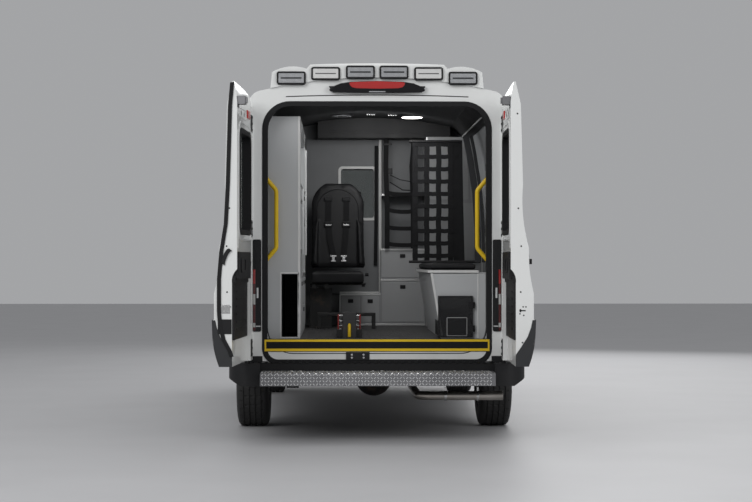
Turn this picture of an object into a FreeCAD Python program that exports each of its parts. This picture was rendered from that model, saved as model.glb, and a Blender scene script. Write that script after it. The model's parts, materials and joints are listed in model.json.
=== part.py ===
"""Panel-van ambulance with its rear doors open: hollow body, doors, running gear and patient room, in millimetres.

Axes: +X to the vehicle's right, +Y to its front, +Z up. Pieces are drawn with Y counted forward from the plane of
the rear door frame, and the last section moves them so that the origin is on the ground at the middle of the whole
vehicle with its doors open."""
import FreeCAD, Part
import math
import os
from FreeCAD import Vector as V

os.makedirs("parts", exist_ok=True)

# ---- driving dimensions --------------------------------------------------------------------------------------------
AXLE_REAR_Y = 1200.0      # rear axle, forward of the rear door frame
WHEELBASE = 3665.0
AXLE_FRONT_Y = AXLE_REAR_Y + WHEELBASE
TYRE_R = 356.0
TYRE_W = 240.0
RIM_R = 203.0
TRACK_REAR = 885.0        # half tracks, to the tyres' middles
TRACK_FRONT = 865.0
KING_X = 790.0            # kingpin, inside the front wheel
BODY_X = 1012.0           # half width at the waist
BODY_BOTTOM = 400.0
WALL = 70.0               # side, door and roof thickness, skin to lining
NOSE_AXIS_Y = 2200.0      # the nose and windscreen are turned about an upright line here
NOSE_R = 3665.0           # bumper's front, from that line
FLOOR_TOP = 683.0
WALKWAY_TOP = 685.0
FLOOR_Z = 671.0           # steel floor under the covering
FLOOR_T = 71.0
ARCH_R = 425.0
ROOF_SPLIT_Z = 2255.0
CAB_REAR_Y = 3500.0       # B-pillar, rear edge of the cab doors
CAB_HINGE_Y = 4640.0
CAB_HINGE_X = 1007.0
HOOD_X = 780.0
HOOD_HINGE_Y = 5046.0
HOOD_HINGE_Z = 1302.0
PARTITION_Y = 3000.0
DOOR_PIN_X = 884.0        # rear doors' hinge pins
DOOR_PIN_Y = -50.0
DOOR_INNER_Y = -12.0      # inner face of a closed rear door
DOOR_OPEN_LEFT = 93.8     # degrees open, as stored
DOOR_OPEN_RIGHT = 88.7
DOOR_GAP = 9.0            # from the middle line to a rear door's free edge
OPENING_X = 748.0
OPENING_TOP = 2285.0
OPENING_BOTTOM = 600.0
DOOR_SKIN_Y = -158.0      # outer skin of a closed rear door, low at its free edge
CLADDING_Y = -168.0       # and the cladding over its foot

X_AXIS, Y_AXIS, Z_AXIS = V(1, 0, 0), V(0, 1, 0), V(0, 0, 1)
parts = {}


# ---- drawing helpers -----------------------------------------------------------------------------------------------
def box(x0, x1, y0, y1, z0, z1):
    return Part.makeBox(x1 - x0, y1 - y0, z1 - z0, V(x0, y0, z0))


def rod(radius, start, end):
    """A round bar between two points."""
    run = V(*end) - V(*start)
    return Part.makeCylinder(radius, run.Length, V(*start), run)


def outline(points, place):
    """A closed wire: each point is (u, v), and a third item marks the middle of an arc."""
    spots = [place(p[0], p[1]) for p in points]
    edges = []
    count = len(points)
    i = 0
    while i < count:
        after = (i + 1) % count
        if len(points[after]) == 3:
            end = (i + 2) % count
            edges.append(Part.Arc(spots[i], spots[after], spots[end]).toShape())
            i += 2
        else:
            edges.append(Part.LineSegment(spots[i], spots[after]).toShape())
            i += 1
    return Part.Wire(edges)


def along_x(points, x0, x1):
    """A prism along X from (y, z) points."""
    return Part.Face(outline(points, lambda y, z: V(x0, y, z))).extrude(V(x1 - x0, 0, 0))


def along_y(points, y0, y1):
    """A prism along Y from (x, z) points."""
    return Part.Face(outline(points, lambda x, z: V(x, y0, z))).extrude(V(0, y1 - y0, 0))


def along_z(points, z0, z1):
    """A prism along Z from (x, y) points."""
    return Part.Face(outline(points, lambda x, y: V(x, y, z0))).extrude(V(0, 0, z1 - z0))


def round_rect(u0, u1, v0, v1, r):
    """A rectangle with arcs at its corners, as outline points."""
    c = r * (1 - math.sqrt(0.5))
    return [(u0 + r, v0), (u1 - r, v0), (u1 - c, v0 + c, "arc"), (u1, v0 + r), (u1, v1 - r), (u1 - c, v1 - c, "arc"),
            (u1 - r, v1), (u0 + r, v1), (u0 + c, v1 - c, "arc"), (u0, v1 - r), (u0, v0 + r), (u0 + c, v0 + c, "arc")]


def mirrored(points, middle=()):
    """A closed outline from its right half: the half, any points on the middle line, and the half's mirror image."""
    return points + list(middle) + [(-p[0],) + tuple(p[1:]) for p in reversed(points)]


def mirror_x(shape):
    return shape.mirror(V(0, 0, 0), X_AXIS)


def both(shape):
    """The shape and its mirror image, as one node of two solids."""
    return Part.makeCompound([shape, mirror_x(shape)])


def fuse(first, *others):
    return first.multiFuse(list(others)).removeSplitter()


def tube(points, radius, bend):
    """A round bar along a route of straight runs joined by tangent arcs of one bend radius."""
    spots = [V(*p) for p in points]
    edges = []
    start = spots[0]
    for before, here, after in zip(spots, spots[1:], spots[2:]):
        a, b = (before - here).normalize(), (after - here).normalize()
        half = math.acos(max(-1.0, min(1.0, a.dot(b)))) / 2
        cut = bend / math.tan(half)
        into, out = here + a * cut, here + b * cut
        middle = (a + b).normalize()
        centre = here + middle * (bend / math.sin(half))
        edges.append(Part.LineSegment(start, into).toShape())
        edges.append(Part.Arc(into, centre - middle * bend, out).toShape())
        start = out
    edges.append(Part.LineSegment(start, spots[-1]).toShape())
    path = Part.Wire(edges)
    ring = Part.Wire(Part.makeCircle(radius, spots[0], spots[1] - spots[0]))
    return path.makePipeShell([ring], True, True)


def keep(name, shape):
    """File a piece under its node's name, as its bare solids."""
    solids = shape.Solids
    parts[name] = solids[0] if len(solids) == 1 else Part.makeCompound(solids)


# ---- the body's outer form: a cross-section, a plan and a turned nose, each set in by the same amount --------------
def section(t, bottom):
    """Cross-section of the body, (x, z), set in by t."""
    right = [(960 - t, bottom), (1006 - t, 720, "arc"), (BODY_X - t, 1100), (965 - t, 1720, "arc"), (872 - t, 2290),
             (849 - t, 2345 - t, "arc"), (797 - t, 2375 - t)]
    return mirrored(right, [(0, 2465 - t, "arc")])


def plan(t):
    """Plan of the body, (x, y), set in by t."""
    right = [(914 - t, -36 + t), (982 - t, -8 + t, "arc"), (BODY_X - t, 60 + t), (BODY_X - t, 4700),
             (1004 - t, 5150, "arc"), (965 - t, 5480), (900 - t, 5680 - t, "arc"), (760 - t, 5900 - t)]
    return mirrored(right)


def nose(t, bottom):
    """The turned front: grille plane, hood, windscreen and roof front, from (r, z) points set in by t."""
    profile = [(0, bottom), (3575 - t, bottom), (3600 - t, 700, "arc"), (3590 - t, 1010), (3560 - t, 1075 - t, "arc"),
               (3480 - t, 1125 - t), (3210 - t, 1222 - t, "arc"), (2930 - t, 1290 - t), (2275 - t, 2185 - t),
               (1960 - t, 2375 - t, "arc"), (1300, 2475 - t), (0, 2475 - t)]
    wire = outline(profile, lambda r, z: V(0, NOSE_AXIS_Y + r, z))
    half = Part.Face(wire).revolve(V(0, NOSE_AXIS_Y, 0), Z_AXIS, 90)
    other = Part.Face(wire).revolve(V(0, NOSE_AXIS_Y, 0), Z_AXIS, -90)
    rear = box(-1400, 1400, -400, NOSE_AXIS_Y, bottom, 2475 - t)
    return half.fuse(other).fuse(rear)


def body_form(t, bottom=BODY_BOTTOM):
    """The whole body as a solid, set in by t all round, with its underside at bottom."""
    form = along_y(section(t, bottom), -400, 6200)
    form = form.common(along_z(plan(t), bottom - 10, 2600))
    return form.common(nose(t, bottom - 5))


OUTER = body_form(0)
LINED = body_form(WALL, BODY_BOTTOM - 60)
SHELL = OUTER.cut(LINED)


# ---- cab openings, seen from the side as (y, z) --------------------------------------------------------------------
def cab_door_outline(gap):
    """The cab door's edge, set in by gap; its lower front corner clears the wheel arch."""
    rear, front = CAB_REAR_Y + 2.1 * gap, CAB_HINGE_Y + 8 - 2.3 * gap
    return [(rear, 474 + gap), (4422 - gap, 474 + gap), (4490 - gap, 640, "arc"), (front, 800 + gap),
            (front, 1600 - gap), (4300 - gap, 2085 - gap), (4250 - gap, 2125 - gap, "arc"), (4190 - gap, 2140 - gap),
            (rear + 60, 2140 - gap), (rear + 18, 2122 - gap, "arc"), (rear, 2080)]


CAB_WINDOW = [(3610, 1320), (4555, 1320), (4555, 1585), (4262, 2020), (4225, 2045, "arc"), (4180, 2055), (3650, 2055),
              (3622, 2043, "arc"), (3610, 2015)]
QUARTER_WINDOW = [(4678, 1330), (4795, 1330), (4678, 1500)]
SIDE_WINDOW = round_rect(1480, 2380, 1370, 1960, 70)          # patient room, left side
SLIDING_DOOR = round_rect(2120, 3390, 492, 2180, 60)          # right side
SLIDING_WINDOW = round_rect(2240, 3270, 1370, 1960, 70)
REAR_SIDE_WINDOW = round_rect(760, 1700, 1370, 1960, 70)      # right side, behind the sliding door


def side_cut(points, sign):
    """A prism along X through one side wall."""
    return along_x(points, 600, 1300) if sign > 0 else along_x(points, -1300, -600)


GLASS_FORM = body_form(5).cut(body_form(11))


def arch(y, radius, x0, x1):
    return rod(radius, (x0, y, TYRE_R), (x1, y, TYRE_R))


# ---- side panels: double walls from the rear frame to the B-pillar, with wheelhouses -------------------------------
HOUSE_IN_X = 735.0
REAR_BUMPER_END_Y, REAR_BUMPER_TOP = 420.0, 528.0


def wheelhouse(y, x0, x1, top):
    """A wheel arch's liner: a curved sheet and its inner plate."""
    sheet = rod(ARCH_R + 6, (x0, y, TYRE_R), (x1, y, TYRE_R)).cut(rod(ARCH_R, (x0 + 6, y, TYRE_R), (x1 + 5, y, TYRE_R)))
    return sheet.common(box(x0, x1, y - 700, y + 700, BODY_BOTTOM + 20, top))


PROUD, LIP_W = 7.0, 34.0
MOULDING_Z, MOULDING_Y = (560, 660), (180, 4560)
RAISED = body_form(-PROUD).cut(OUTER)
MOULDING = RAISED.common(box(-1100, 1100, *MOULDING_Y, *MOULDING_Z))
RAIL_GROOVE = OUTER.cut(body_form(14)).common(box(600, 1100, 240, 2130, 1196, 1228))      # the sliding door's rail


def arch_lip(y):
    """The pressed lip round a wheel arch, on both sides."""
    lip = RAISED.common(arch(y, ARCH_R + LIP_W, -1100, 1100)).cut(arch(y, ARCH_R, -1200, 1200))
    return lip.common(box(-1100, 1100, y - 600, y + 600, BODY_BOTTOM, 1000))


def handle(y, z):
    """A pull handle on a right-hand door: a bar on two feet."""
    bar = along_x(round_rect(y, y + 176, z, z + 30, 13), BODY_X + 6, BODY_X + 22)
    return fuse(bar, box(BODY_X - 20, BODY_X + 8, y + 6, y + 30, z + 4, z + 26),
                box(BODY_X - 20, BODY_X + 8, y + 146, y + 170, z + 4, z + 26))


def side_panel(sign, windows):
    lo, hi = (600, 1100) if sign > 0 else (-1100, -600)
    panel = SHELL.common(box(lo, hi, 60, CAB_REAR_Y, BODY_BOTTOM, ROOF_SPLIT_Z))
    house = wheelhouse(AXLE_REAR_Y, HOUSE_IN_X, 990, 1200)
    panel = panel.cut(arch(AXLE_REAR_Y, ARCH_R, -1100, 1100))
    panel = panel.fuse(house if sign > 0 else mirror_x(house))
    panel = panel.common(OUTER).cut(box(lo, hi, 0, REAR_BUMPER_END_Y, 300, REAR_BUMPER_TOP))
    band = MOULDING.cut(arch(AXLE_REAR_Y, ARCH_R, -1200, 1200)).fuse(arch_lip(AXLE_REAR_Y))
    panel = panel.fuse(band.common(box(lo, hi, 60, CAB_REAR_Y, BODY_BOTTOM, 1200))).cut(RAIL_GROOVE).removeSplitter()
    for points in windows:
        panel = panel.cut(side_cut(points, sign))
    return panel


keep("side_panel_left", side_panel(-1, [SIDE_WINDOW]))
keep("side_panel_right", side_panel(1, [SLIDING_DOOR, REAR_SIDE_WINDOW]))

DOOR_REVEAL = 4.0
sliding_edge = side_cut(round_rect(2120 + DOOR_REVEAL, 3390 - DOOR_REVEAL, 492 + DOOR_REVEAL, 2180 - DOOR_REVEAL, 56), 1)
sliding = fuse(SHELL.common(sliding_edge), MOULDING.common(sliding_edge), handle(3180, 1150))
keep("sliding_door", sliding.cut(side_cut(SLIDING_WINDOW, 1)))

panes = [GLASS_FORM.common(side_cut(points, sign)) for points, sign in
         [(SIDE_WINDOW, -1), (REAR_SIDE_WINDOW, 1), (SLIDING_WINDOW, 1), (QUARTER_WINDOW, 1), (QUARTER_WINDOW, -1)]]
keep("side_windows", Part.makeCompound(panes))

# ---- roof: one pressing from the rear frame to the windscreen's header ---------------------------------------------
HEADER_Y = 4160.0
ROOF_RIBS_X = (-540, -320, -100, 100, 320, 540)
roof = SHELL.common(box(-1100, 1100, 60, HEADER_Y, ROOF_SPLIT_Z, 2600))
swage = OUTER.cut(body_form(8))
for x in ROOF_RIBS_X:
    roof = roof.cut(swage.common(box(x - 26, x + 26, 640, 3380, 2350, 2600)))
keep("roof", roof)

# ---- floor pan between the side walls ------------------------------------------------------------------------------
floor = LINED.common(box(-1100, 1100, 60, 4990, FLOOR_Z - FLOOR_T, FLOOR_Z))
for axle_y, inside_x in ((AXLE_REAR_Y, HOUSE_IN_X), (AXLE_FRONT_Y, 540)):
    floor = floor.cut(arch(axle_y, ARCH_R + 6, inside_x, 1100)).cut(arch(axle_y, ARCH_R + 6, -1100, -inside_x))
floor = floor.cut(box(915, 1100, CAB_REAR_Y, 5000, 500, 700)).cut(box(-1100, -915, CAB_REAR_Y, 5000, 500, 700))
keep("floor_pan", floor)

# ---- rear door frame: corner pillars, header and sill round the doorway --------------------------------------------
POST_X = 914.0            # the corner pillars outboard of the doors
frame = OUTER.common(box(-1100, 1100, -80, 60, OPENING_BOTTOM - 63, 2600))
frame = frame.cut(box(-POST_X, POST_X, -200, 0, 400, 2600))
frame = frame.cut(along_y(round_rect(-OPENING_X, OPENING_X, OPENING_BOTTOM, OPENING_TOP, 180), -100, 100))
frame = frame.cut(box(-OPENING_X, OPENING_X, -100, 100, OPENING_BOTTOM, OPENING_BOTTOM + 180))
LAMP_Z = (740, 1360)
CORNER_LAMP = box(926, 1100, -100, 120, *LAMP_Z)
JAMB_LAMP = box(790, 844, -4, 12, *LAMP_Z)
corner = OUTER.cut(body_form(45)).common(CORNER_LAMP)
frame = frame.cut(corner).cut(mirror_x(corner)).cut(JAMB_LAMP).cut(mirror_x(JAMB_LAMP))
keep("rear_door_frame", frame)
for side in ("side_panel_left", "side_panel_right"):
    parts[side] = parts[side].cut(corner).cut(mirror_x(corner))
keep("tail_lamps", Part.makeCompound([corner, mirror_x(corner), JAMB_LAMP, mirror_x(JAMB_LAMP)]))

# ---- cab frame: pillars, header, scuttle, bulkhead and rockers -----------------------------------------------------
cab = SHELL.common(box(-1100, 1100, CAB_REAR_Y, 5260, BODY_BOTTOM, 2600))
cab = cab.cut(box(-1100, 1100, 3000, HEADER_Y, ROOF_SPLIT_Z, 2700))
cab = cab.cut(side_cut(cab_door_outline(0), 1)).cut(side_cut(cab_door_outline(0), -1))
cab = cab.cut(side_cut(QUARTER_WINDOW, 1)).cut(side_cut(QUARTER_WINDOW, -1))
WINDSCREEN = [(-800, 1325), (0, 1300, "arc"), (800, 1325), (690, 2085), (640, 2130, "arc"), (590, 2140), (0, 2155, "arc"),
              (-590, 2140), (-640, 2130, "arc"), (-690, 2085)]
screen_cut = along_y(WINDSCREEN, 4250, 5400)
cab = cab.cut(screen_cut)
WING_TOP = 1250.0
cab = cab.cut(box(HOOD_X, 1100, 4660, 5400, 300, WING_TOP)).cut(box(-1100, -HOOD_X, 4660, 5400, 300, WING_TOP))
COWL_R = 2950.0           # the hood's rear edge, from the nose's turning line
cowl = Part.makeCylinder(COWL_R, 2000, V(0, NOSE_AXIS_Y, 300))
cab = cab.common(cowl)
bulkhead = LINED.common(box(-1100, 1100, 4990, 5030, 480, 1300)).cut(box(-1100, 1100, 4980, 5040, 400, 600))
scuttle = LINED.common(box(-1000, 1000, 4990, 5200, 1180, 1215)).common(cowl)
cab = fuse(cab, bulkhead, scuttle)
cab = cab.cut(arch(AXLE_FRONT_Y, ARCH_R + 6, 540, 1100)).cut(arch(AXLE_FRONT_Y, ARCH_R + 6, -1100, -540))
keep("cab_frame", cab)

keep("windscreen", GLASS_FORM.common(screen_cut))

# ---- front wings with their liners, hood, headlamps and grille -----------------------------------------------------
LAMP_BACK_Y = 5400.0
skin = OUTER.cut(body_form(38, BODY_BOTTOM - 60))
HEADLAMP = box(545, 1100, LAMP_BACK_Y, 5950, 800, 1003)
wing = skin.common(box(HOOD_X + 6, 1100, 4660, 5950, BODY_BOTTOM, WING_TOP))
wing = wing.cut(box(HOOD_X, 1100, 5340, 5950, 300, 664)).cut(HEADLAMP)
wing = wing.cut(arch(AXLE_FRONT_Y, ARCH_R, 500, 1100))
liner = wheelhouse(AXLE_FRONT_Y, 540, 985, 1200).common(OUTER)
liner = liner.cut(box(530, 560, AXLE_FRONT_Y - 130, AXLE_FRONT_Y + 130, 400, 512))      # upper arm's way through
lip = arch_lip(AXLE_FRONT_Y).common(box(HOOD_X + 6, 1100, 4668, 5950, BODY_BOTTOM, WING_TOP))
wing = wing.fuse(liner).fuse(lip.cut(box(HOOD_X, 1100, 5334, 5950, 300, 664)))
keep("front_wings", both(wing))

lamp = OUTER.cut(body_form(120, BODY_BOTTOM - 60)).common(HEADLAMP)
keep("headlamps", both(lamp))

hood = OUTER.cut(body_form(40, BODY_BOTTOM - 60))
hood = hood.common(box(-HOOD_X, HOOD_X, 4900, 6000, 1009, 1400))
hood = hood.cut(Part.makeCylinder(COWL_R + 10, 2000, V(0, NOSE_AXIS_Y, 300)))
keep("hood", hood)

GRILLE_X, GRILLE_Z = 539.0, (668.0, 1003.0)
SLAT_COUNT, SLAT_GAP = 5, 34.0
grille = OUTER.cut(body_form(60, BODY_BOTTOM - 60)).common(box(-GRILLE_X, GRILLE_X, 5500, 5900, *GRILLE_Z))
pitch = (GRILLE_Z[1] - GRILLE_Z[0] - 30) / SLAT_COUNT
for i in range(SLAT_COUNT):
    z = GRILLE_Z[0] + 15 + pitch * (i + 0.5)
    for x0, x1 in ((-500, -14), (14, 500)):
        grille = grille.cut(box(x0, x1, 5400, 6000, z - SLAT_GAP / 2, z + SLAT_GAP / 2))
keep("grille", grille)


# ---- bumpers and rear step -----------------------------------------------------------------------------------------
def front_bumper_form(t):
    points = [(2900, 300), (3560 - t, 300), (3640 - t, 330, "arc"), (NOSE_R - t, 400), (NOSE_R - t, 570),
              (3650 - t, 630, "arc"), (3600 - t, 662), (2900, 662)]
    wire = outline(points, lambda r, z: V(0, NOSE_AXIS_Y + r, z))
    turn = Part.Face(wire).revolve(V(0, NOSE_AXIS_Y, 0), Z_AXIS, 40).fuse(
        Part.Face(wire).revolve(V(0, NOSE_AXIS_Y, 0), Z_AXIS, -40))
    corner_x = 1006 - t
    edge = [(corner_x, 4700), (corner_x, 5250), (988 - t, 5500, "arc"), (890 - t, 5720), (700 - t, 6000)]
    return turn.common(along_z(mirrored(edge), 250, 700))


TOW_X, TOW_Z, TOW_R, TOW_HATCH_R = 560.0, 540.0, 9.0, 32.0
bumper = front_bumper_form(0).cut(front_bumper_form(55))
bumper = bumper.common(box(-1100, 1100, 5340, 6000, 290, 664))
bumper = bumper.cut(arch(AXLE_FRONT_Y, ARCH_R + 2, -1100, 1100))
bumper = bumper.cut(box(-430, 430, 5500, 6000, 390, 520))      # air intake
for z in (425, 468):
    bumper = bumper.fuse(front_bumper_form(8).cut(front_bumper_form(40)).common(box(-435, 435, 5500, 6000, z, z + 18)))
bumper = bumper.cut(rod(TOW_HATCH_R, (TOW_X, 5500, TOW_Z), (TOW_X, 6000, TOW_Z)))     # way in to the towing eye's socket
keep("front_bumper", bumper)

STEP_X, STEP_TOP, STEP_BOTTOM, STEP_Y = 787.0, 470.0, 382.0, -250.0


def rear_bumper_plan(t):
    return mirrored([(1000 - t, REAR_BUMPER_END_Y), (1000 - t, 90), (972 - t, -60 + t, "arc"), (880 - t, -118 + t)])


rear_bumper = along_z(rear_bumper_plan(0), 372, REAR_BUMPER_TOP).cut(along_z(rear_bumper_plan(45), 360, 540))
rear_bumper = rear_bumper.cut(box(-STEP_X - 6, STEP_X + 6, -200, -20, 300, 600))
rear_bumper = fuse(rear_bumper, box(-960, 960, -24, 40, 400, 524))
rear_bumper = rear_bumper.cut(along_y([(880, 340), (1100, 340), (1100, 470), (940, 380, "arc")], -300, 500))
rear_bumper = rear_bumper.cut(along_y([(-880, 340), (-1100, 340), (-1100, 470), (-940, 380, "arc")], -300, 500))
keep("rear_bumper", rear_bumper)

step = along_x([(-26, STEP_TOP), (STEP_Y + 14, STEP_TOP), (STEP_Y + 4, STEP_TOP - 4, "arc"), (STEP_Y, STEP_TOP - 14),
                (STEP_Y, STEP_BOTTOM), (STEP_Y + 6, STEP_BOTTOM), (STEP_Y + 6, STEP_TOP - 16), (STEP_Y + 14, STEP_TOP - 7),
                (-26, STEP_TOP - 7)], -STEP_X, STEP_X)
gusset = [(-26, STEP_TOP - 7), (STEP_Y + 6, STEP_TOP - 7), (STEP_Y + 6, STEP_BOTTOM), (-26, STEP_BOTTOM + 30)]
step = fuse(step, *[along_x(gusset, x, x + 8) for x in (-STEP_X, -400, -4, 392, STEP_X - 8)])
keep("rear_step", step)


# ---- rear doors: pressed panels with windows, drawn shut and then swung open about their pins ----------------------
def rear_door():
    """The right door, shut: side form, plan and outline in common, then its window and hinge arms."""
    side = along_x([(DOOR_INNER_Y, 548), (-122, 548), (-150, 640, "arc"), (-165, 757), (CLADDING_Y, 842),
                    (DOOR_SKIN_Y, 848), (DOOR_SKIN_Y, 1010), (-143, 1080, "arc"), (-129, 1180), (-127, 1300),
                    (-104, 1400, "arc"), (-90, 1700), (-76, 2210), (-42, 2360), (-33, 2360), (-20, 2290, "arc"),
                    (DOOR_INNER_Y, 2225)], 0, 1000)
    top = along_z([(DOOR_GAP, DOOR_INNER_Y), (906, DOOR_INNER_Y), (906, -30), (862, -50, "arc"), (812, -65),
                   (630, -132, "arc"), (400, CLADDING_Y), (DOOR_GAP, CLADDING_Y)], 500, 2450)
    edge = along_y([(DOOR_GAP, 548), (886, 548), (900, 554, "arc"), (906, 568), (906, 2040), (860, 2284),
                    (842, 2318, "arc"), (800, 2329), (420, 2347, "arc"), (DOOR_GAP, 2353)], -200, 0)
    # the inner face steps outwards low down, to take the trim board
    recess = along_x([(-44, 540), (-44, 1075), (-37, 1130, "arc"), (DOOR_INNER_Y, 1165), (20, 1165), (20, 540)], 0, 780)
    return side.common(top).common(edge).cut(recess)


REAR_WINDOW = round_rect(150, 770, 1400, 2060, 80)
# knuckle height, then the boxes (x0, x1, y0, y1) that carry the frame's leaf round the door's edge to the pillar
HINGES = [(600.0, [(DOOR_PIN_X, 934, -59, -49), (920, 934, -59, 20)]),
          (1402.0, [(DOOR_PIN_X, 934, -59, -49), (920, 934, -59, 20)]),
          (2215.0, [(DOOR_PIN_X, 898, -59, -49), (888, 898, -59, 22), (866, 898, 3, 22)])]
PIN_R, KNUCKLE = 9.0, 34.0
panel = rear_door()
pane = panel.common(along_y(REAR_WINDOW, -200, 0))
panel = panel.cut(along_y(REAR_WINDOW, -200, 0))
leaves = []
for z, straps in HINGES:
    barrel = rod(PIN_R, (DOOR_PIN_X, DOOR_PIN_Y, z), (DOOR_PIN_X, DOOR_PIN_Y, z + KNUCKLE))
    panel = panel.cut(box(826, 950, -90, -36, z - KNUCKLE - 7, z + 2 * KNUCKLE + 7))
    panel = panel.fuse(barrel).fuse(box(846, DOOR_PIN_X, -58, -34, z, z + KNUCKLE))
    for low in (z - KNUCKLE - 1, z + KNUCKLE + 1):
        leaf = rod(PIN_R, (DOOR_PIN_X, DOOR_PIN_Y, low), (DOOR_PIN_X, DOOR_PIN_Y, low + KNUCKLE))
        leaves.append(leaf.fuse([box(*strap, low, low + KNUCKLE) for strap in straps]))
pane = pane.common(box(0, 1000, -66, -60, 1000, 2400))
for side, angle in (("left", DOOR_OPEN_LEFT), ("right", DOOR_OPEN_RIGHT)):
    for name, shape in (("rear_door_" + side, panel), ("rear_glass_" + side, pane)):
        swung = shape.copy()
        swung.rotate(V(DOOR_PIN_X, DOOR_PIN_Y, 0), Z_AXIS, angle)
        keep(name, swung if side == "right" else mirror_x(swung))
framed = parts["rear_door_frame"].cut(both(panel))
framed = framed.fuse(leaves + [mirror_x(leaf) for leaf in leaves])
keep("rear_door_frame", framed)

# ---- cab doors, each with its window and mirror --------------------------------------------------------------------
DOOR_CLEAR = 6.2
MIRROR_Y = 4585.0
MIRROR = [(1058, 1400), (1058, 1700), (1075, 1735, "arc"), (1110, 1745), (1190, 1745), (1225, 1730, "arc"), (1235, 1695),
          (1235, 1420), (1225, 1385, "arc"), (1190, 1375), (1090, 1375), (1066, 1382, "arc")]
for side, sign in (("left", -1), ("right", 1)):
    edge = side_cut(cab_door_outline(DOOR_CLEAR), sign)
    pull = handle(3560, 1150)
    door = fuse(SHELL.common(edge), MOULDING.common(edge), pull if sign > 0 else mirror_x(pull))
    door = door.cut(side_cut(CAB_WINDOW, sign))
    keep("cab_door_" + side, door)
    keep("cab_glass_" + side, GLASS_FORM.common(side_cut(CAB_WINDOW, sign)))
    head = along_y(MIRROR, MIRROR_Y - 44, MIRROR_Y + 36)
    for z in (1410, 1640):
        head = head.fuse(rod(13, (958, MIRROR_Y, z), (1090, MIRROR_Y, z)))
    head = head.cut(OUTER)
    keep("mirror_" + side, head if sign > 0 else mirror_x(head))

# ---- roof light fairing, rear warning lamps and high brake lamp, front light bar -----------------------------------
FAIRING_X = 728.0
fairing = along_y([(-FAIRING_X, 2360), (-715, 2500), (-690, 2513, "arc"), (-480, 2524), (-455, 2552), (0, 2562, "arc"),
                   (455, 2552), (480, 2524), (690, 2513, "arc"), (715, 2500), (FAIRING_X, 2360)], -14, 460)
side = along_x([(-14, 2340), (-14, 2470), (2, 2566, "arc"), (60, 2585), (240, 2585), (460, 2420), (460, 2340)], -900, 900)
fairing = fairing.common(side).cut(OUTER)
LAMPS_REAR = [(-584, 2459), (-350, 2490), (-114, 2500), (114, 2500), (350, 2490), (584, 2459)]
LAMP_W, LAMP_H = 197.0, 90.0
lenses = []
for x, z in LAMPS_REAR:
    spot = (x - LAMP_W / 2, x + LAMP_W / 2, z - LAMP_H / 2, z + LAMP_H / 2)
    fairing = fairing.cut(along_y(round_rect(*spot, 16), -60, 0))
    lenses.append(along_y(round_rect(*spot, 16), -24, 0))
brake = along_y([(-328, 2441), (-302, 2362), (302, 2362), (328, 2441)], -34, -14)
brake = brake.common(along_x([(-34, 2362), (-34, 2430), (-31, 2438, "arc"), (-24, 2441), (-14, 2441), (-14, 2362)], -400, 400))
lenses.append(brake)
front_bar = along_y([(-560, 2380), (-560, 2525), (-535, 2548, "arc"), (-500, 2552), (500, 2552), (535, 2548, "arc"),
                     (560, 2525), (560, 2380)], 3560, 3900)
front_bar = front_bar.common(along_x([(3560, 2380), (3560, 2500), (3590, 2556, "arc"), (3650, 2560), (3780, 2560),
                                      (3860, 2545, "arc"), (3900, 2480), (3900, 2380)], -700, 700)).cut(OUTER)
keep("roof_light_fairing", fairing)
keep("warning_lamps", Part.makeCompound(lenses + [front_bar]))

# ---- wheels: tyre and steel wheel turned from one profile each -----------------------------------------------------
def tyre():
    half = TYRE_W / 2
    points = [(RIM_R, -half + 16), (326, -half), (TYRE_R, -half + 28), (TYRE_R, half - 28), (326, half), (RIM_R, half - 16)]
    return Part.Face(outline(points, lambda r, x: V(x, 0, r))).revolve(V(0, 0, 0), X_AXIS, 360)


HUB_BORE, SPINDLE_R = 30.0, 28.0


def steel_wheel():
    """Wheel disc, barrel and hub, outside towards +X."""
    points = [(RIM_R, -108), (RIM_R, 108), (194, 112), (190, 58), (152, 42), (112, 66), (74, 66), (64, 96, "arc"),
              (40, 104), (0, 106), (0, 92), (HUB_BORE, 92), (HUB_BORE, -16), (56, -16), (56, 50), (106, 54), (148, 30),
              (180, 44), (184, -60), (193, -108)]
    disc = Part.Face(outline(points, lambda r, x: V(x, 0, r))).revolve(V(0, 0, 0), X_AXIS, 360)
    for i in range(8):
        a = math.radians(i * 45)
        y, z = 134 * math.cos(a), 134 * math.sin(a)
        disc = disc.cut(rod(15, (-20, y, z), (120, y, z)))
    return disc


TYRE, WHEEL = tyre(), steel_wheel()
for name, y, x in (("front", AXLE_FRONT_Y, TRACK_FRONT), ("rear", AXLE_REAR_Y, TRACK_REAR)):
    for side, sign in (("left", -1), ("right", 1)):
        for node, shape in (("tyre", TYRE), ("wheel", WHEEL)):
            placed = shape if sign > 0 else mirror_x(shape)
            placed = placed.copy()
            placed.translate(V(sign * x, y, TYRE_R))
            keep("%s_%s_%s" % (node, name, side), placed)

# ---- knuckles and front suspension ---------------------------------------------------------------------------------
knuckle = rod(SPINDLE_R, (KING_X, AXLE_FRONT_Y, TYRE_R), (TRACK_FRONT + 70, AXLE_FRONT_Y, TYRE_R))
knuckle = fuse(knuckle, rod(75, (KING_X - 16, AXLE_FRONT_Y, TYRE_R), (KING_X + 26, AXLE_FRONT_Y, TYRE_R)),
               box(KING_X - 18, KING_X + 18, AXLE_FRONT_Y - 24, AXLE_FRONT_Y + 24, 242, 470),
               along_z([(KING_X - 16, AXLE_FRONT_Y), (KING_X - 30, AXLE_FRONT_Y - 130), (KING_X - 4, AXLE_FRONT_Y - 130),
                        (KING_X + 16, AXLE_FRONT_Y)], 300, 322))
for side, sign in (("left", -1), ("right", 1)):
    keep("knuckle_" + side, knuckle if sign > 0 else mirror_x(knuckle))
front = box(-400, 400, AXLE_FRONT_Y - 70, AXLE_FRONT_Y + 70, 250, 330)
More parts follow.
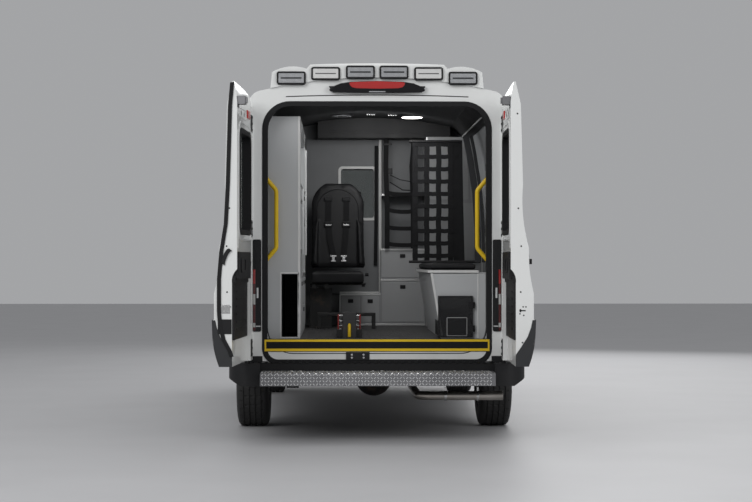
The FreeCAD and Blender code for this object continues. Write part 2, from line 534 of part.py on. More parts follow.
for x in (-1, 1):
    lower = along_z([(x * 380, AXLE_FRONT_Y - 190), (x * (KING_X + 14), AXLE_FRONT_Y - 20),
                     (x * (KING_X + 14), AXLE_FRONT_Y + 20), (x * 380, AXLE_FRONT_Y + 150)], 208, 240)
    upper = along_z([(x * 430, AXLE_FRONT_Y - 90), (x * (KING_X + 12), AXLE_FRONT_Y - 18),
                     (x * (KING_X + 12), AXLE_FRONT_Y + 18), (x * 430, AXLE_FRONT_Y + 90)], 472, 492)
    hanger = box(min(x * 380, x * 460), max(x * 380, x * 460), AXLE_FRONT_Y - 100, AXLE_FRONT_Y + 100, 210, 480)
    front = front.fuse([lower, upper, hanger])
members = []
RAIL_X, RAIL_W, RAIL_Z, RAIL_END_Y = 395.0, 70.0, (480.0, 600.0), 5450.0
for x in (-RAIL_X - RAIL_W, RAIL_X):
    members.append(box(x, x + RAIL_W, 60, RAIL_END_Y, *RAIL_Z))
for y in (180, 800, 1900, 2700, 3500):
    members.append(box(-RAIL_X, RAIL_X, y, y + 60, 520, 590))
SPRING_X, SPRING_HALF = 600.0, 640.0
for y in (AXLE_REAR_Y - SPRING_HALF, AXLE_REAR_Y + SPRING_HALF):
    for x in (-1, 1):
        a, b = sorted((x * (RAIL_X + RAIL_W), x * (SPRING_X + 40)))
        members.append(box(a, b, y - 30, y + 30, 500, 600))
        a, b = sorted((x * (SPRING_X - 40), x * (SPRING_X + 40)))
        members.append(box(a, b, y - 26, y + 26, 424, 500))
keep("chassis_frame", members[0].multiFuse(members[1:] + [front]))

# ---- bumper beam across the front of the frame, with the towing eye's socket ---------------------------------------
beam = box(-690, 690, RAIL_END_Y, RAIL_END_Y + 60, *RAIL_Z)
keep("bumper_beam", beam.cut(rod(TOW_R, (TOW_X, RAIL_END_Y - 10, TOW_Z), (TOW_X, RAIL_END_Y + 70, TOW_Z))))

# ---- rear axle with its leaf springs and the propeller shaft -------------------------------------------------------
y0, y1 = AXLE_REAR_Y - SPRING_HALF - 30, AXLE_REAR_Y + SPRING_HALF + 30
leaf = along_x([(y0, 424), (AXLE_REAR_Y, 318, "arc"), (y1, 424), (y1, 398), (AXLE_REAR_Y, 288, "arc"), (y0, 398)],
               SPRING_X - 34, SPRING_X + 34)
axle = rod(46, (-TRACK_REAR + 40, AXLE_REAR_Y, TYRE_R), (TRACK_REAR - 40, AXLE_REAR_Y, TYRE_R))
axle = axle.cut(box(-2000, -730, 0, 3000, 0, 800)).cut(box(730, 2000, 0, 3000, 0, 800))
pumpkin = Part.makeSphere(138, V(0, AXLE_REAR_Y, TYRE_R))
GEARBOX_Y, SHAFT_END_Y = 5045.0, 4340.0
shaft = rod(36, (0, AXLE_REAR_Y + 90, TYRE_R), (0, SHAFT_END_Y - 2.5, 500))
spindles = [rod(SPINDLE_R, (x * 700, AXLE_REAR_Y, TYRE_R), (x * (TRACK_REAR + 70), AXLE_REAR_Y, TYRE_R)) for x in (-1, 1)]
seats = [box(x - 45, x + 45, AXLE_REAR_Y - 60, AXLE_REAR_Y + 60, 280, 330) for x in (-SPRING_X, SPRING_X)]
keep("rear_axle", fuse(axle, pumpkin, shaft, leaf, mirror_x(leaf), *(spindles + seats)))

keep("engine_block", fuse(box(-230, 230, GEARBOX_Y, 5440, 500, 1000), box(-140, 140, SHAFT_END_Y, GEARBOX_Y, 440, 596)))

# ---- exhaust and fuel tank -----------------------------------------------------------------------------------------
TAIL_Y, TAIL_Z = 330.0, 278.0
pipe = tube([(300, 4300, 420), (300, 3600, 300), (300, 1700, 262), (300, 700, 262), (300, TAIL_Y, TAIL_Z),
             (883, TAIL_Y, TAIL_Z)], 30, 95)
silencer = along_x([(2650, 220), (2650, 400), (3350, 400), (3350, 220)], 180, 372)
hangers = [box(292, 308, y, y + 12, z, 500) for y, z in ((3560, 340), (1905, 330))]
keep("exhaust", fuse(pipe, silencer, box(200, 212, 2705, 2735, 390, 500), *hangers))
tank = along_y(round_rect(-380, -60, 250, 480, 50), 2000, 2650)
keep("fuel_tank", tank)


# ---- cab: dashboard, steering wheel and seats ----------------------------------------------------------------------
dash = along_x([(4560, 1190), (4600, 1160), (4640, 900), (4700, 760), (4985, 760), (4985, 1230), (4900, 1262, "arc"),
                (4800, 1268), (4660, 1250, "arc")], -900, 900).common(LINED)
dash = dash.cut(arch(AXLE_FRONT_Y, ARCH_R + 8, 500, 1100)).cut(arch(AXLE_FRONT_Y, ARCH_R + 8, -1100, -500))
COLUMN_X, COLUMN_TILT = -400.0, 34.0
HUB = V(COLUMN_X, 4390, 1130)
tilt = math.radians(COLUMN_TILT)
COLUMN_AXIS = V(0, -math.cos(tilt), math.sin(tilt))
cowling = Part.makeCylinder(48, 300, HUB - COLUMN_AXIS * 322, COLUMN_AXIS)
keep("dashboard", fuse(dash, cowling))

WHEEL_RIM, WHEEL_BAR = 195.0, 15.0
steering = Part.makeTorus(WHEEL_RIM, WHEEL_BAR, V(0, 0, 0), Z_AXIS)
steering = steering.fuse(Part.makeCylinder(58, 44, V(0, 0, -38)))
for i in range(3):
    spoke = box(-15, 15, 30, WHEEL_RIM, -12, 6)
    spoke.rotate(V(0, 0, 0), Z_AXIS, 60 + 120 * i)
    steering = steering.fuse(spoke)
steering.rotate(V(0, 0, 0), X_AXIS, 90 - COLUMN_TILT)
steering.translate(HUB + COLUMN_AXIS * 22)
keep("steering_wheel", steering)


def seat(x, y, floor_z, width, forward=1, base=(300, 190), back_top=880, recline=90):
    """A seat facing forward (1) or back (-1): pedestal, cushion, back and head rest."""
    half = width / 2
    cushion = along_x(round_rect(-250, 260, 330, 455, 45), -half, half)
    back = along_x([(-220, 400), (-120, 400), (-120 - recline * 0.9, back_top - 40),
                    (-150 - recline * 0.9, back_top, "arc"),
                    (-190 - recline * 0.9, back_top - 10), (-235, 450)], -half + 10, half - 10)
    head = along_x(round_rect(-250 - recline * 0.55, -150 - recline * 0.75, back_top + 15, back_top + 200, 35), -130, 130)
    posts = [rod(8, (px, -198 - recline * 0.62, back_top - 60), (px, -198 - recline * 0.62, back_top + 60)) for px in (-60, 60)]
    foot = box(-base[0] / 2, base[0] / 2, -base[1], base[1], 0, 345)
    whole = fuse(cushion, back, head, foot, *posts)
    if forward < 0:
        whole.rotate(V(0, 0, 0), Z_AXIS, 180)
    whole.translate(V(x, y, floor_z))
    return whole


keep("cab_seats", Part.makeCompound([seat(-400, 3830, FLOOR_Z, 500), seat(400, 3830, FLOOR_Z, 500)]))

# ---- patient room: covering, partition, cabinets, bench, seat, nets, fastener and rails ----------------------------
cover = LINED.common(box(-1100, 1100, 4, PARTITION_Y, FLOOR_Z, FLOOR_TOP)).common(OUTER)
cover = cover.cut(arch(AXLE_REAR_Y, ARCH_R + 6, HOUSE_IN_X, 1100)).cut(arch(AXLE_REAR_Y, ARCH_R + 6, -1100, -HOUSE_IN_X))
cover = cover.cut(box(-1100, -OPENING_X, -10, 60, 600, 700)).cut(box(OPENING_X, 1100, -10, 60, 600, 700))
sill_plate = box(-770, 770, -5, 0, 602, FLOOR_TOP)
lip = box(-OPENING_X, OPENING_X, -5, 4, FLOOR_Z, FLOOR_TOP)
# the ribbed walkway stands proud of the covering, round the stretcher fastener
walkway = box(-500, 330, 60, 2140, FLOOR_TOP - 1, WALKWAY_TOP).cut(box(-285, -90, 170, 910, 600, 700))
keep("floor_covering", fuse(cover, lip, sill_plate, walkway))

PASS = round_rect(-247, 47, 1570, 1995, 30)
wall = LINED.common(box(-1100, 1100, PARTITION_Y, PARTITION_Y + 40, FLOOR_Z, 2600))
wall = wall.cut(along_y(PASS, 2900, 3100))
HEADER_Z = 2230.0
header = LINED.common(box(-430, 660, 2700, PARTITION_Y, HEADER_Z, 2600))
BOARD_X, BOARD_Y = 88.0, PARTITION_Y - 36      # the board's right edge and its face, seen from the patient room
board = box(-530, BOARD_X, BOARD_Y, PARTITION_Y, 950, HEADER_Z).cut(along_y(PASS, 2900, 3100))
keep("partition", fuse(wall, header, board))
# front cabinet: a tall stack against the right wall, then steps down towards the middle, with one shelf
STACK_X, WORKTOP_Y, WORKTOP_Z = 455.0, 2830.0, 1320.0
tall = LINED.common(box(STACK_X, 1100, 2560, PARTITION_Y, FLOOR_TOP, HEADER_Z))
low = box(-250, BOARD_X, WORKTOP_Y - 30, BOARD_Y, FLOOR_TOP, 948)
middle = box(BOARD_X, STACK_X, WORKTOP_Y - 30, PARTITION_Y, FLOOR_TOP, 1066)
worktop = box(BOARD_X, STACK_X, WORKTOP_Y, PARTITION_Y, FLOOR_TOP, WORKTOP_Z)
shelf = box(BOARD_X + 12, STACK_X, WORKTOP_Y + 20, PARTITION_Y, 1758, 1774)
keep("front_cabinet", fuse(tall, shelf, low, middle, worktop))

CABINET_X, CABINET_Y0, CABINET_Y1, CABINET_TOP = -527.0, 120.0, 2300.0, 2210.0
cabinet = body_form(WALL + 1, BODY_BOTTOM - 60).common(
    box(-1100, CABINET_X, CABINET_Y0, CABINET_Y1, FLOOR_TOP, CABINET_TOP))
cabinet = cabinet.cut(arch(AXLE_REAR_Y, ARCH_R + 10, -1100, -HOUSE_IN_X + 6))
cabinet = cabinet.cut(box(-653, -541, 0, 900, 692, 1128))
# open niches in the aisle face: (y0, y1, z0, z1, depth)
NICHES = [(1050, 2200, 1130, 1500, 300), (300, 900, 1300, 1640, 240), (300, 2200, 1760, 2120, 250)]
for y_a, y_b, z_a, z_b, deep in NICHES:
    cabinet = cabinet.cut(box(CABINET_X - deep, CABINET_X + 10, y_a, y_b, z_a, z_b))
keep("left_cabinet", cabinet)

BENCH_Y0, BENCH_Y1, BENCH_TOP = 120.0, 2100.0, 1130.0
bench = along_y([(445, FLOOR_TOP), (371, BENCH_TOP), (960, BENCH_TOP), (960, FLOOR_TOP)], BENCH_Y0, BENCH_Y1)
bench = bench.common(body_form(WALL + 1, BODY_BOTTOM - 60)).cut(arch(AXLE_REAR_Y, ARCH_R + 10, HOUSE_IN_X - 6, 1100))
bench = bench.cut(box(425, 655, 0, 620, 698, 974)).cut(box(470, 730, 700, 2000, 800, BENCH_TOP + 10))
keep("squad_bench", bench)
HATCH_PIN = (668.0, 106.0)
hatch = box(420, 660, 102, 114, 692, 978)
for z in (735, 895):
    hatch = hatch.fuse(rod(5, (*HATCH_PIN, z), (*HATCH_PIN, z + 36))).fuse(box(650, 668, 102, 108, z, z + 36))
keep("bench_hatch", hatch)
LID_PIN = (705.0, 1150.0)
lid = box(356, 700, BENCH_Y0 + 12, BENCH_Y1 - 12, BENCH_TOP + 6, BENCH_TOP + 22)
pad = along_y(round_rect(356, 697, BENCH_TOP + 22, 1203, 18), BENCH_Y0 + 16, BENCH_Y1 - 16)
lid = lid.fuse(pad)
keep("bench_lid", lid.removeSplitter())

# attendant's seat, facing back: pedestal, slides, folding cushion, and an arched back with side bolsters
SEAT_X, SEAT_BACK_Y, SEAT_HALF, SEAT_LEAN = -265.0, 2600.0, 225.0, 62.0
SEAT_TOP, CUSHION_Z0, CUSHION_Z1, BACK_Z = 1864.0, 1038.0, 1132.0, 1150.0


def seat_back(half, top, z0, thick, shoulder):
    """An upright slab with an arched top, leaning back from its foot."""
    right = [(half, z0), (half, top - shoulder), (half * 0.86, top - shoulder * 0.36, "arc"), (half * 0.45, top)]
    lean = along_x([(SEAT_BACK_Y - thick, z0 - 50), (SEAT_BACK_Y, z0 - 50), (SEAT_BACK_Y + SEAT_LEAN, top + 50),
                    (SEAT_BACK_Y + SEAT_LEAN - thick, top + 50)], -half, half)
    return along_y(mirrored(right), SEAT_BACK_Y - 200, SEAT_BACK_Y + 200).common(lean)


back = seat_back(SEAT_HALF, SEAT_TOP, BACK_Z, 62, 230)
bolster = seat_back(SEAT_HALF, SEAT_TOP - 300, BACK_Z + 20, 96, 90)
back = back.fuse(bolster.cut(box(-SEAT_HALF + 62, SEAT_HALF - 62, 2300, 2700, 1100, 1700)))
cushion = along_x([(2170, CUSHION_Z0 + 20), (2180, CUSHION_Z1 - 8), (2200, CUSHION_Z1 + 6, "arc"),
                   (2240, CUSHION_Z1 + 4), (2575, CUSHION_Z1 - 10), (2575, CUSHION_Z0), (2190, CUSHION_Z0)],
                  -SEAT_HALF, SEAT_HALF)
SLIDE_Z = CUSHION_Z0 - 38
pedestal = fuse(box(-225, -50, 2330, 2560, FLOOR_TOP, SLIDE_Z), box(-225, -50, 2290, 2600, FLOOR_TOP, FLOOR_TOP + 12))
slides = [box(x, x + 34, 2210, 2590, SLIDE_Z, CUSHION_Z0) for x in (-205, -104)]
stays = [box(x, x + 26, 2560, 2596, CUSHION_Z0 - 30, BACK_Z + 120) for x in (-SEAT_HALF + 4, SEAT_HALF - 30)]
tray = box(-SEAT_HALF + 4, SEAT_HALF - 4, 2240, 2596, CUSHION_Z0 - 12, CUSHION_Z0)
attendant = fuse(back, cushion, pedestal, tray, *(slides + stays))
attendant.translate(V(SEAT_X, 0, 0))
keep("attendant_seat", attendant)

# nets of flat webbing: a square mesh between two bars, and a ladder between the worktop and the header
STRAP = 3.0
NET_Y, NET_Z0, NET_Z1, NET_STRAP = 2196.0, 1212.0, 2170.0, 48.0
LADDER_Y, LADDER_STRAP = 2790.0, 40.0
web = [box(x, x + NET_STRAP, NET_Y, NET_Y + STRAP, NET_Z0 + 3, NET_Z1) for x in (345, 423, 501, 579)]
web += [box(340, 632, NET_Y, NET_Y + STRAP, z, z + NET_STRAP) for z in [NET_Z0 + 13 + 100 * i for i in range(10)]]
ladder = [box(x, x + LADDER_STRAP, LADDER_Y, LADDER_Y + STRAP, WORKTOP_Z, HEADER_Z) for x in (117, 347)]
ladder += [box(x, x + LADDER_STRAP, LADDER_Y, WORKTOP_Y, WORKTOP_Z - STRAP, WORKTOP_Z) for x in (117, 347)]
ladder += [box(117, 387, LADDER_Y, LADDER_Y + STRAP, z, z + LADDER_STRAP) for z in (1340, 1475, 1620, 1760)]
bars = [rod(10, (300, NET_Y + 1, z), (900, NET_Y + 1, z)) for z in (NET_Z0, NET_Z1)]
bars = [bar.common(LINED) for bar in bars]
keep("cargo_nets", Part.makeCompound([fuse(*(web + bars)), fuse(*ladder)]))

# the stretcher's floor fastener: a rail with a post and its brace
fastener = box(-275, -100, 250, 900, FLOOR_TOP, FLOOR_TOP + 60)
fastener = fuse(fastener, box(-235, -140, 180, 330, FLOOR_TOP, FLOOR_TOP + 180),
                along_x([(330, FLOOR_TOP + 40), (330, FLOOR_TOP + 170), (560, FLOOR_TOP + 40)], -215, -160))
keep("stretcher_fastener", fastener)

# grab rails on the rear pillars, their ends slanting out to feet on the frame's front face
RAIL_Y, RAIL_BAR, RAIL_Z0, RAIL_Z1 = 80.0, 15.0, 1198.0, 1806.0
grips = []
for x in (-1, 1):
    grip = tube([(x * 778, RAIL_Y, RAIL_Z0), (x * 688, RAIL_Y, RAIL_Z0 + 106), (x * 688, RAIL_Y, RAIL_Z1 - 106),
                 (x * 778, RAIL_Y, RAIL_Z1)], RAIL_BAR, 45)
    feet = [rod(r, (x * 776, 60, z), (x * 776, y, z))
            for z in (RAIL_Z0 + 3, RAIL_Z1 - 3) for r, y in ((22, 64), (9, RAIL_Y))]
    grips.append(fuse(grip, *feet))
keep("grab_rails", Part.makeCompound(grips))


# ---- the whole vehicle moves so that its box stands centred on the origin ------------------------------------------
REAR_TIP_Y = min(parts["rear_door_" + side].optimalBoundingBox(False).YMin for side in ("left", "right"))
FRONT_TIP_Y = parts["front_bumper"].optimalBoundingBox(False).YMax
MID_Y = (REAR_TIP_Y + FRONT_TIP_Y) / 2
for name, shape in parts.items():
    shape.translate(V(0, -MID_Y, 0))
    shape.exportStep("parts/%s.step" % name)
print("middle of the vehicle is %.4f mm forward of the rear door frame" % MID_Y, len(parts), "pieces")
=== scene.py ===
"""Panel-van ambulance seen from behind with its rear doors open: finishes and fittings around the fixed frame."""
import json
import math

import bmesh
import bpy
from mathutils import Matrix, Vector
from mathutils.bvhtree import BVHTree

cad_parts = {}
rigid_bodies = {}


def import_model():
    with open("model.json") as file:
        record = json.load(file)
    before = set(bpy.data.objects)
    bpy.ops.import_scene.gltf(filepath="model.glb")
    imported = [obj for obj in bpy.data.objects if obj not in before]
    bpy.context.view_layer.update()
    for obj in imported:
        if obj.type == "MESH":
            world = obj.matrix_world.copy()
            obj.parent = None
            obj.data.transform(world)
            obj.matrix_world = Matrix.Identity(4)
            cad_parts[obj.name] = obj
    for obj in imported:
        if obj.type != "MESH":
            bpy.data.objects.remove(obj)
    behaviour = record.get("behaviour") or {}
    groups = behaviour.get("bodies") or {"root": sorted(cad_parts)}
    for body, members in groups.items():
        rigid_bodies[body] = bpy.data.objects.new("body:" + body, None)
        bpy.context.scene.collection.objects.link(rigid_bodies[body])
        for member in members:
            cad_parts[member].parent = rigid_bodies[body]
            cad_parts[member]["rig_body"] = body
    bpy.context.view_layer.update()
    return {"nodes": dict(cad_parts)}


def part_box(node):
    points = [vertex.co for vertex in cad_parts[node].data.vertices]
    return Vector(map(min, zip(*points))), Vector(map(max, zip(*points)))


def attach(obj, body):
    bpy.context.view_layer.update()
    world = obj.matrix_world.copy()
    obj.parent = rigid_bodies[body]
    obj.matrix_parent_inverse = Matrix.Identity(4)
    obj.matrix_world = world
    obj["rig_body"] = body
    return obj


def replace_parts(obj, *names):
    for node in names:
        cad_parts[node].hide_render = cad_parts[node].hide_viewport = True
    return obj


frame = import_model()
NODES = frame["nodes"]
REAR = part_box("rear_door_frame")[1].y - 0.06      # plane of the rear door frame
SIDES = {"left": -1.0, "right": 1.0}

# ---- Studio --------------------------------------------
# A pale floor, large soft lamps, two small lamps in the load space, and a long lens level with a person's chest,
# a little to the left of the vehicle's middle.
camera = bpy.data.objects.new("camera", bpy.data.cameras.new("camera"))
camera.data.lens = 91.5
camera.data.clip_end = 200.0
camera.location = (-0.28, REAR - 13.0, 1.21)
camera.rotation_euler = (math.radians(90.33), 0.0, math.radians(-1.2))
bpy.context.scene.collection.objects.link(camera)
bpy.context.scene.camera = camera
bpy.context.scene.view_settings.view_transform = "Standard"


class Link:
    """A shader socket that adds, subtracts and multiplies as a number does."""

    def __init__(self, finish, socket):
        self.finish, self.socket = finish, socket

    def _math(self, operation, *values):
        return self.finish.node("Math", {"operation": operation}, dict(enumerate(values)))

    def __add__(self, other):
        return self._math("ADD", self, other)

    def __sub__(self, other):
        return self._math("SUBTRACT", self, other)

    def __rsub__(self, other):
        return self._math("SUBTRACT", other, self)

    def __mul__(self, other):
        return self._math("MULTIPLY", self, other)

    def clamp(self):
        result = self._math("ADD", self, 0.0)
        result.socket.node.use_clamp = True
        return result

    __radd__ = __add__
    __rmul__ = __mul__


class Finish:
    """A material under construction: node() adds any shader node, and put() feeds the Principled shader."""

    def __init__(self, name):
        self.material = bpy.data.materials.new(name)
        self.material.use_nodes = True
        self.tree = self.material.node_tree
        self.shader = self.tree.nodes["Principled BSDF"]
        self.place = self.node("TexCoord", out="Object")

    def node(self, kind, settings=None, sockets=None, out=0):
        made = self.tree.nodes.new("ShaderNode" + kind)
        for key, value in (settings or {}).items():
            if key == "stops":
                self._stops(made.color_ramp, value)
            else:
                setattr(made, key, value)
        for key, value in (sockets or {}).items():
            self._feed(made.inputs[key], value)
        return Link(self, made.outputs[out])

    def _stops(self, ramp, stops):
        ramp.interpolation = "CONSTANT"
        while len(ramp.elements) < len(stops):
            ramp.elements.new(0.5)
        for element, (position, colour) in zip(ramp.elements, stops):
            element.position, element.color = position, (*colour, 1.0)

    def _feed(self, socket, value):
        if isinstance(value, Link):
            self.tree.links.new(value.socket, socket)
        elif hasattr(value, "__len__") and len(value) == 3 and socket.type == "RGBA":
            socket.default_value = (*value, 1.0)
        else:
            socket.default_value = value

    def put(self, **values):
        for key, value in values.items():
            self._feed(self.shader.inputs[key.replace("_", " ")], value)
        return self

    def noise(self, scale, detail=3.0, rough=0.5, stretch=(1.0, 1.0, 1.0)):
        where = self.node("Mapping", {}, {"Vector": self.place, "Scale": stretch}, "Vector")
        return self.node("TexNoise", {}, {"Vector": where, "Scale": scale, "Detail": detail, "Roughness": rough}, "Fac")

    def wave(self, direction, scale, profile="SIN"):
        return self.node("TexWave", {"bands_direction": direction, "wave_profile": profile},
                         {"Vector": self.place, "Scale": scale}, "Fac")

    def ramp(self, value, low, high, start=0.0, end=1.0):
        """Maps a value from low to high on to start to end."""
        return self.node("MapRange", {}, {"Value": value, "From Min": low, "From Max": high, "To Min": start,
                                          "To Max": end})

    def mix(self, share, low, high):
        return self.node("Mix", {"data_type": "RGBA"}, {0: share, 6: low, 7: high}, 2)

    def bump(self, height, distance, strength=1.0):
        normal = self.node("Bump", {}, {"Height": height, "Distance": distance, "Strength": strength}, "Normal")
        return self.put(Normal=normal).material

    def along(self, axis):
        return self.node("SeparateXYZ", {}, {0: self.place}, axis)


def tint(colour, factor):
    return tuple(min(1.0, c * factor) for c in colour)


def surface(name, low, high, patch, rough, spread, grain, depth, strength, **fixed):
    """A finish whose colour and gloss drift together from low to high in patches, over a fine grain."""
    finish = Finish(name)
    cloud = finish.noise(*patch)
    finish.put(Base_Color=finish.mix(cloud, low, high), Roughness=rough + cloud * spread, **fixed)
    return finish.bump(finish.noise(*grain), depth, strength)


def piece(name, bm, finish, bevel=0.0, segments=2, sharp=40.0, body="body"):
    """Makes an object of a bmesh, smooth-shaded up to the sharp angle, and rides it on its body."""
    bmesh.ops.recalc_face_normals(bm, faces=bm.faces)
    mesh = bpy.data.meshes.new(name)
    limit = math.radians(sharp)
    for face in bm.faces:
        face.smooth = True
    for edge in bm.edges:
        edge.smooth = len(edge.link_faces) == 2 and edge.calc_face_angle(0.0) < limit
    bm.to_mesh(mesh)
    bm.free()
    made = bpy.data.objects.new(name, mesh)
    bpy.context.scene.collection.objects.link(made)
    if bevel:
        edge_round = made.modifiers.new("edge", "BEVEL")
        edge_round.width, edge_round.segments, edge_round.limit_method = bevel, segments, "ANGLE"
        edge_round.angle_limit = math.radians(30)
        edge_round.harden_normals = True
    mesh.materials.append(finish)
    if body:
        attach(made, body)
    return made


def rear(x, y, z):
    """A point whose Y is measured forward from the rear door frame."""
    return Vector((x, REAR + y, z))


def block(bm, x0, x1, y0, y1, z0, z1):
    """Adds a box to a bmesh, and returns its vertices."""
    size = Matrix.Diagonal((x1 - x0, y1 - y0, z1 - z0, 1.0))
    spot = Matrix.Translation(((x0 + x1) / 2, (y0 + y1) / 2, (z0 + z1) / 2))
    return bmesh.ops.create_cube(bm, size=1.0, matrix=spot @ size)["verts"]


def blocks(bm, *rows, sign=1.0):
    """Adds boxes of x0, x1, y0, y1, z0, z1, with Y measured from the rear door frame and X mirrored by the sign."""
    for x0, x1, y0, y1, z0, z1 in rows:
        block(bm, *sorted((sign * x0, sign * x1)), REAR + y0, REAR + y1, z0, z1)
    return bm


def rod(bm, start, end, radius, sides=20, far_radius=None):
    """Adds a round bar or cone between two points."""
    a, b = Vector(start), Vector(end)
    turn = (b - a).to_track_quat("Z", "Y").to_matrix().to_4x4()
    spot = Matrix.Translation((a + b) / 2) @ turn
    far = radius if far_radius is None else far_radius
    bmesh.ops.create_cone(bm, cap_ends=True, segments=sides, radius1=radius, radius2=far, depth=(b - a).length,
                          matrix=spot)


def studs(bm, spots, y0, y1, radius, sides):
    """Adds round bars along Y at (x, z) spots, with Y measured from the rear door frame."""
    for x, z in spots:
        rod(bm, rear(x, y0, z), rear(x, y1, z), radius, sides)


def extrude(bm, faces, move):
    """Gives flat faces a thickness."""
    thick = bmesh.ops.extrude_face_region(bm, geom=faces)
    bmesh.ops.translate(bm, verts=[v for v in thick["geom"] if isinstance(v, bmesh.types.BMVert)], vec=move)


bm = bmesh.new()
bmesh.ops.create_grid(bm, x_segments=1, y_segments=1, size=40.0)
floor_finish = Finish("studio_floor")
floor_finish.put(Base_Color=floor_finish.mix(floor_finish.noise(1.3, 4.0), (0.44, 0.44, 0.45), (0.50, 0.50, 0.51)),
                 Roughness=0.55)
piece("studio_floor", bm, floor_finish.material, body=None)

world = bpy.data.worlds.new("studio")
bpy.context.scene.world = world
world.use_nodes = True
backdrop = world.node_tree.nodes["Background"]
backdrop.inputs["Color"].default_value = (0.80, 0.81, 0.83, 1.0)
backdrop.inputs["Strength"].default_value = 0.46

# name, place, size, watts, aimed at
LAMPS = [("key", (-5.0, REAR - 7.0, 6.0), 5.0, 370.0, (0.0, REAR, 1.2)),
         ("fill", (6.0, REAR - 6.0, 4.5), 5.0, 225.0, (0.0, REAR, 1.2)),
         ("top", (0.0, 0.5, 7.5), 7.0, 165.0, (0.0, 0.5, 0.0)),
         ("front", (3.0, 9.0, 4.5), 6.0, 250.0, (0.0, 2.0, 1.0)),
         ("cabin_rear", (0.0, REAR + 0.60, 2.28), 0.6, 6.0, (0.10, REAR + 1.3, 0.7)),
         ("cabin_front", (0.10, REAR + 1.80, 2.26), 0.6, 7.5, (0.0, REAR + 2.7, 1.0))]
for name, place, size, watts, target in LAMPS:
    lamp = bpy.data.lights.new(name, "AREA")
    lamp.size, lamp.energy = size, watts
    lamp_object = bpy.data.objects.new(name, lamp)
    lamp_object.location = place
    lamp_object.rotation_euler = (Vector(target) - Vector(place)).to_track_quat("-Z", "Y").to_euler()
    bpy.context.scene.collection.objects.link(lamp_object)

# ---- Painted body --------------------------------------
# The steel body, doors, wings and hood carry white paint under clear lacquer, with road film low on the sides.
# Each panel keeps its own form, with its edges rounded as a pressing's are; grey lining boards face the inside, and the
# roof's inside is painted near black as painted shade.


def paint(name, colour, film=0.5):
    finish = Finish(name)
    cloud = finish.noise(2.2, 4.0)
    low = finish.ramp(finish.along("Z"), 0.95, 0.35, 0.0, film)
    dust = (low * finish.noise(9.0, 5.0, 0.6, (1.0, 1.0, 0.4)) * 1.1).clamp()
    base = finish.mix(cloud, tint(colour, 0.965), colour)
    finish.put(Base_Color=finish.mix(dust, base, (0.42, 0.40, 0.37)), Roughness=0.24 + dust * 0.4,
               Coat_Weight=0.6 - dust * 0.5, Coat_Roughness=0.04)
    return finish.bump(finish.noise(420.0, 1.0), 0.0002, 0.12)


def moulded(name, colour, rough=0.5, grain=900.0, depth=0.0004):
    """Moulded plastic: a fine leathery grain, slightly uneven in gloss, with dust in patches."""
    return surface(name, tint(colour, 0.85), tint(colour, 1.15), (6.0, 4.0), rough - 0.06, 0.14, (grain, 2.0), depth,
                   0.35, Specular_IOR_Level=0.3)


def cad_copy(node):
    """The mesh of a CAD piece with its seams merged."""
    bm = bmesh.new()
    bm.from_mesh(NODES[node].data)
    bmesh.ops.remove_doubles(bm, verts=bm.verts, dist=0.00002)
    return bm


def dressed(node, finish, bevel=0.003, sharp=28.0, lining=None):
    """A smooth-shaded copy of a CAD piece with rounded edges; lining is (more finishes..., which face has which)."""
    bm = cad_copy(node)
    bmesh.ops.dissolve_limit(bm, angle_limit=math.radians(0.4), verts=bm.verts, edges=bm.edges)
    if lining:
        for face in bm.faces:
            face.material_index = int(lining[-1](face.normal, face.calc_center_median()))
    made = piece(node + "_finished", bm, finish, bevel, 2, sharp, NODES[node]["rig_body"])
    for extra in lining[:-1] if lining else ():
        made.data.materials.append(extra)
    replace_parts(made, node)
    return made


def inward(normal, centre):
    return normal.x * math.copysign(1.0, centre.x) < -0.35 or normal.z < -0.35


def outside(normal, centre):
    """0 for paint, 1 for the lining inside, 2 for mouldings, arch lips and handles that stand out of the skin."""
    if inward(normal, centre):
        return 1
    width, z = abs(centre.x), centre.z
    lip = width > 0.955 and any(0.420 < math.hypot(centre.y - axle, z - 0.356) < 0.463 for axle in AXLES)
    strip = 0.558 < z < 0.662 and width > 0.9915 + 0.13 * (z - 0.570)
    handle = 1.140 < z < 1.190 and width > 1.0145
    return 2 if handle or strip or lip else 0


AXLES = (REAR + 1.200, REAR + 4.865)
body_paint = paint("white_paint", (0.77, 0.78, 0.77))
board = moulded("lining_board", (0.34, 0.35, 0.36), 0.55, 500.0)
# The ceiling board's near-black colour is painted shade of the unlit ceiling, not the board's own colour.
ceiling = moulded("ceiling_board_painted_shade", (0.045, 0.046, 0.048), 0.6, 500.0)
moulding = moulded("moulding_black", (0.016, 0.016, 0.017), 0.55)
dark_trim = moulded("cab_lining", (0.055, 0.058, 0.062), 0.6)
for nodes, lining in ((("hood", "rear_door_frame", "rear_door_left", "rear_door_right"), None),
                      (("side_panel_left", "side_panel_right", "sliding_door"), (board, moulding, outside)),
                      (("front_wings", "cab_frame", "cab_door_left", "cab_door_right"), (dark_trim, moulding, outside)),
                      (("roof",), (ceiling, inward))):
    for node in nodes:
        dressed(node, body_paint, lining=lining)

# ---- Windows -------------------------------------------
# Toughened panes, lightly green in the cab and smoked at the patient room, each held in a black rubber gasket.


def glass(name, colour, alpha):
    finish = Finish(name)
    smear = finish.noise(3.0, 5.0, 0.6)
    return finish.put(Base_Color=finish.mix(smear, tint(colour, 0.8), tint(colour, 1.2)), Alpha=alpha,
                      Roughness=0.02 + smear * 0.05, Coat_Weight=0.5, Specular_IOR_Level=0.6).material


def coat(finish, *nodes):
    """Gives CAD pieces that show as they are their finish."""
    for node in nodes:
        for slot in NODES[node].material_slots:
            slot.material = finish


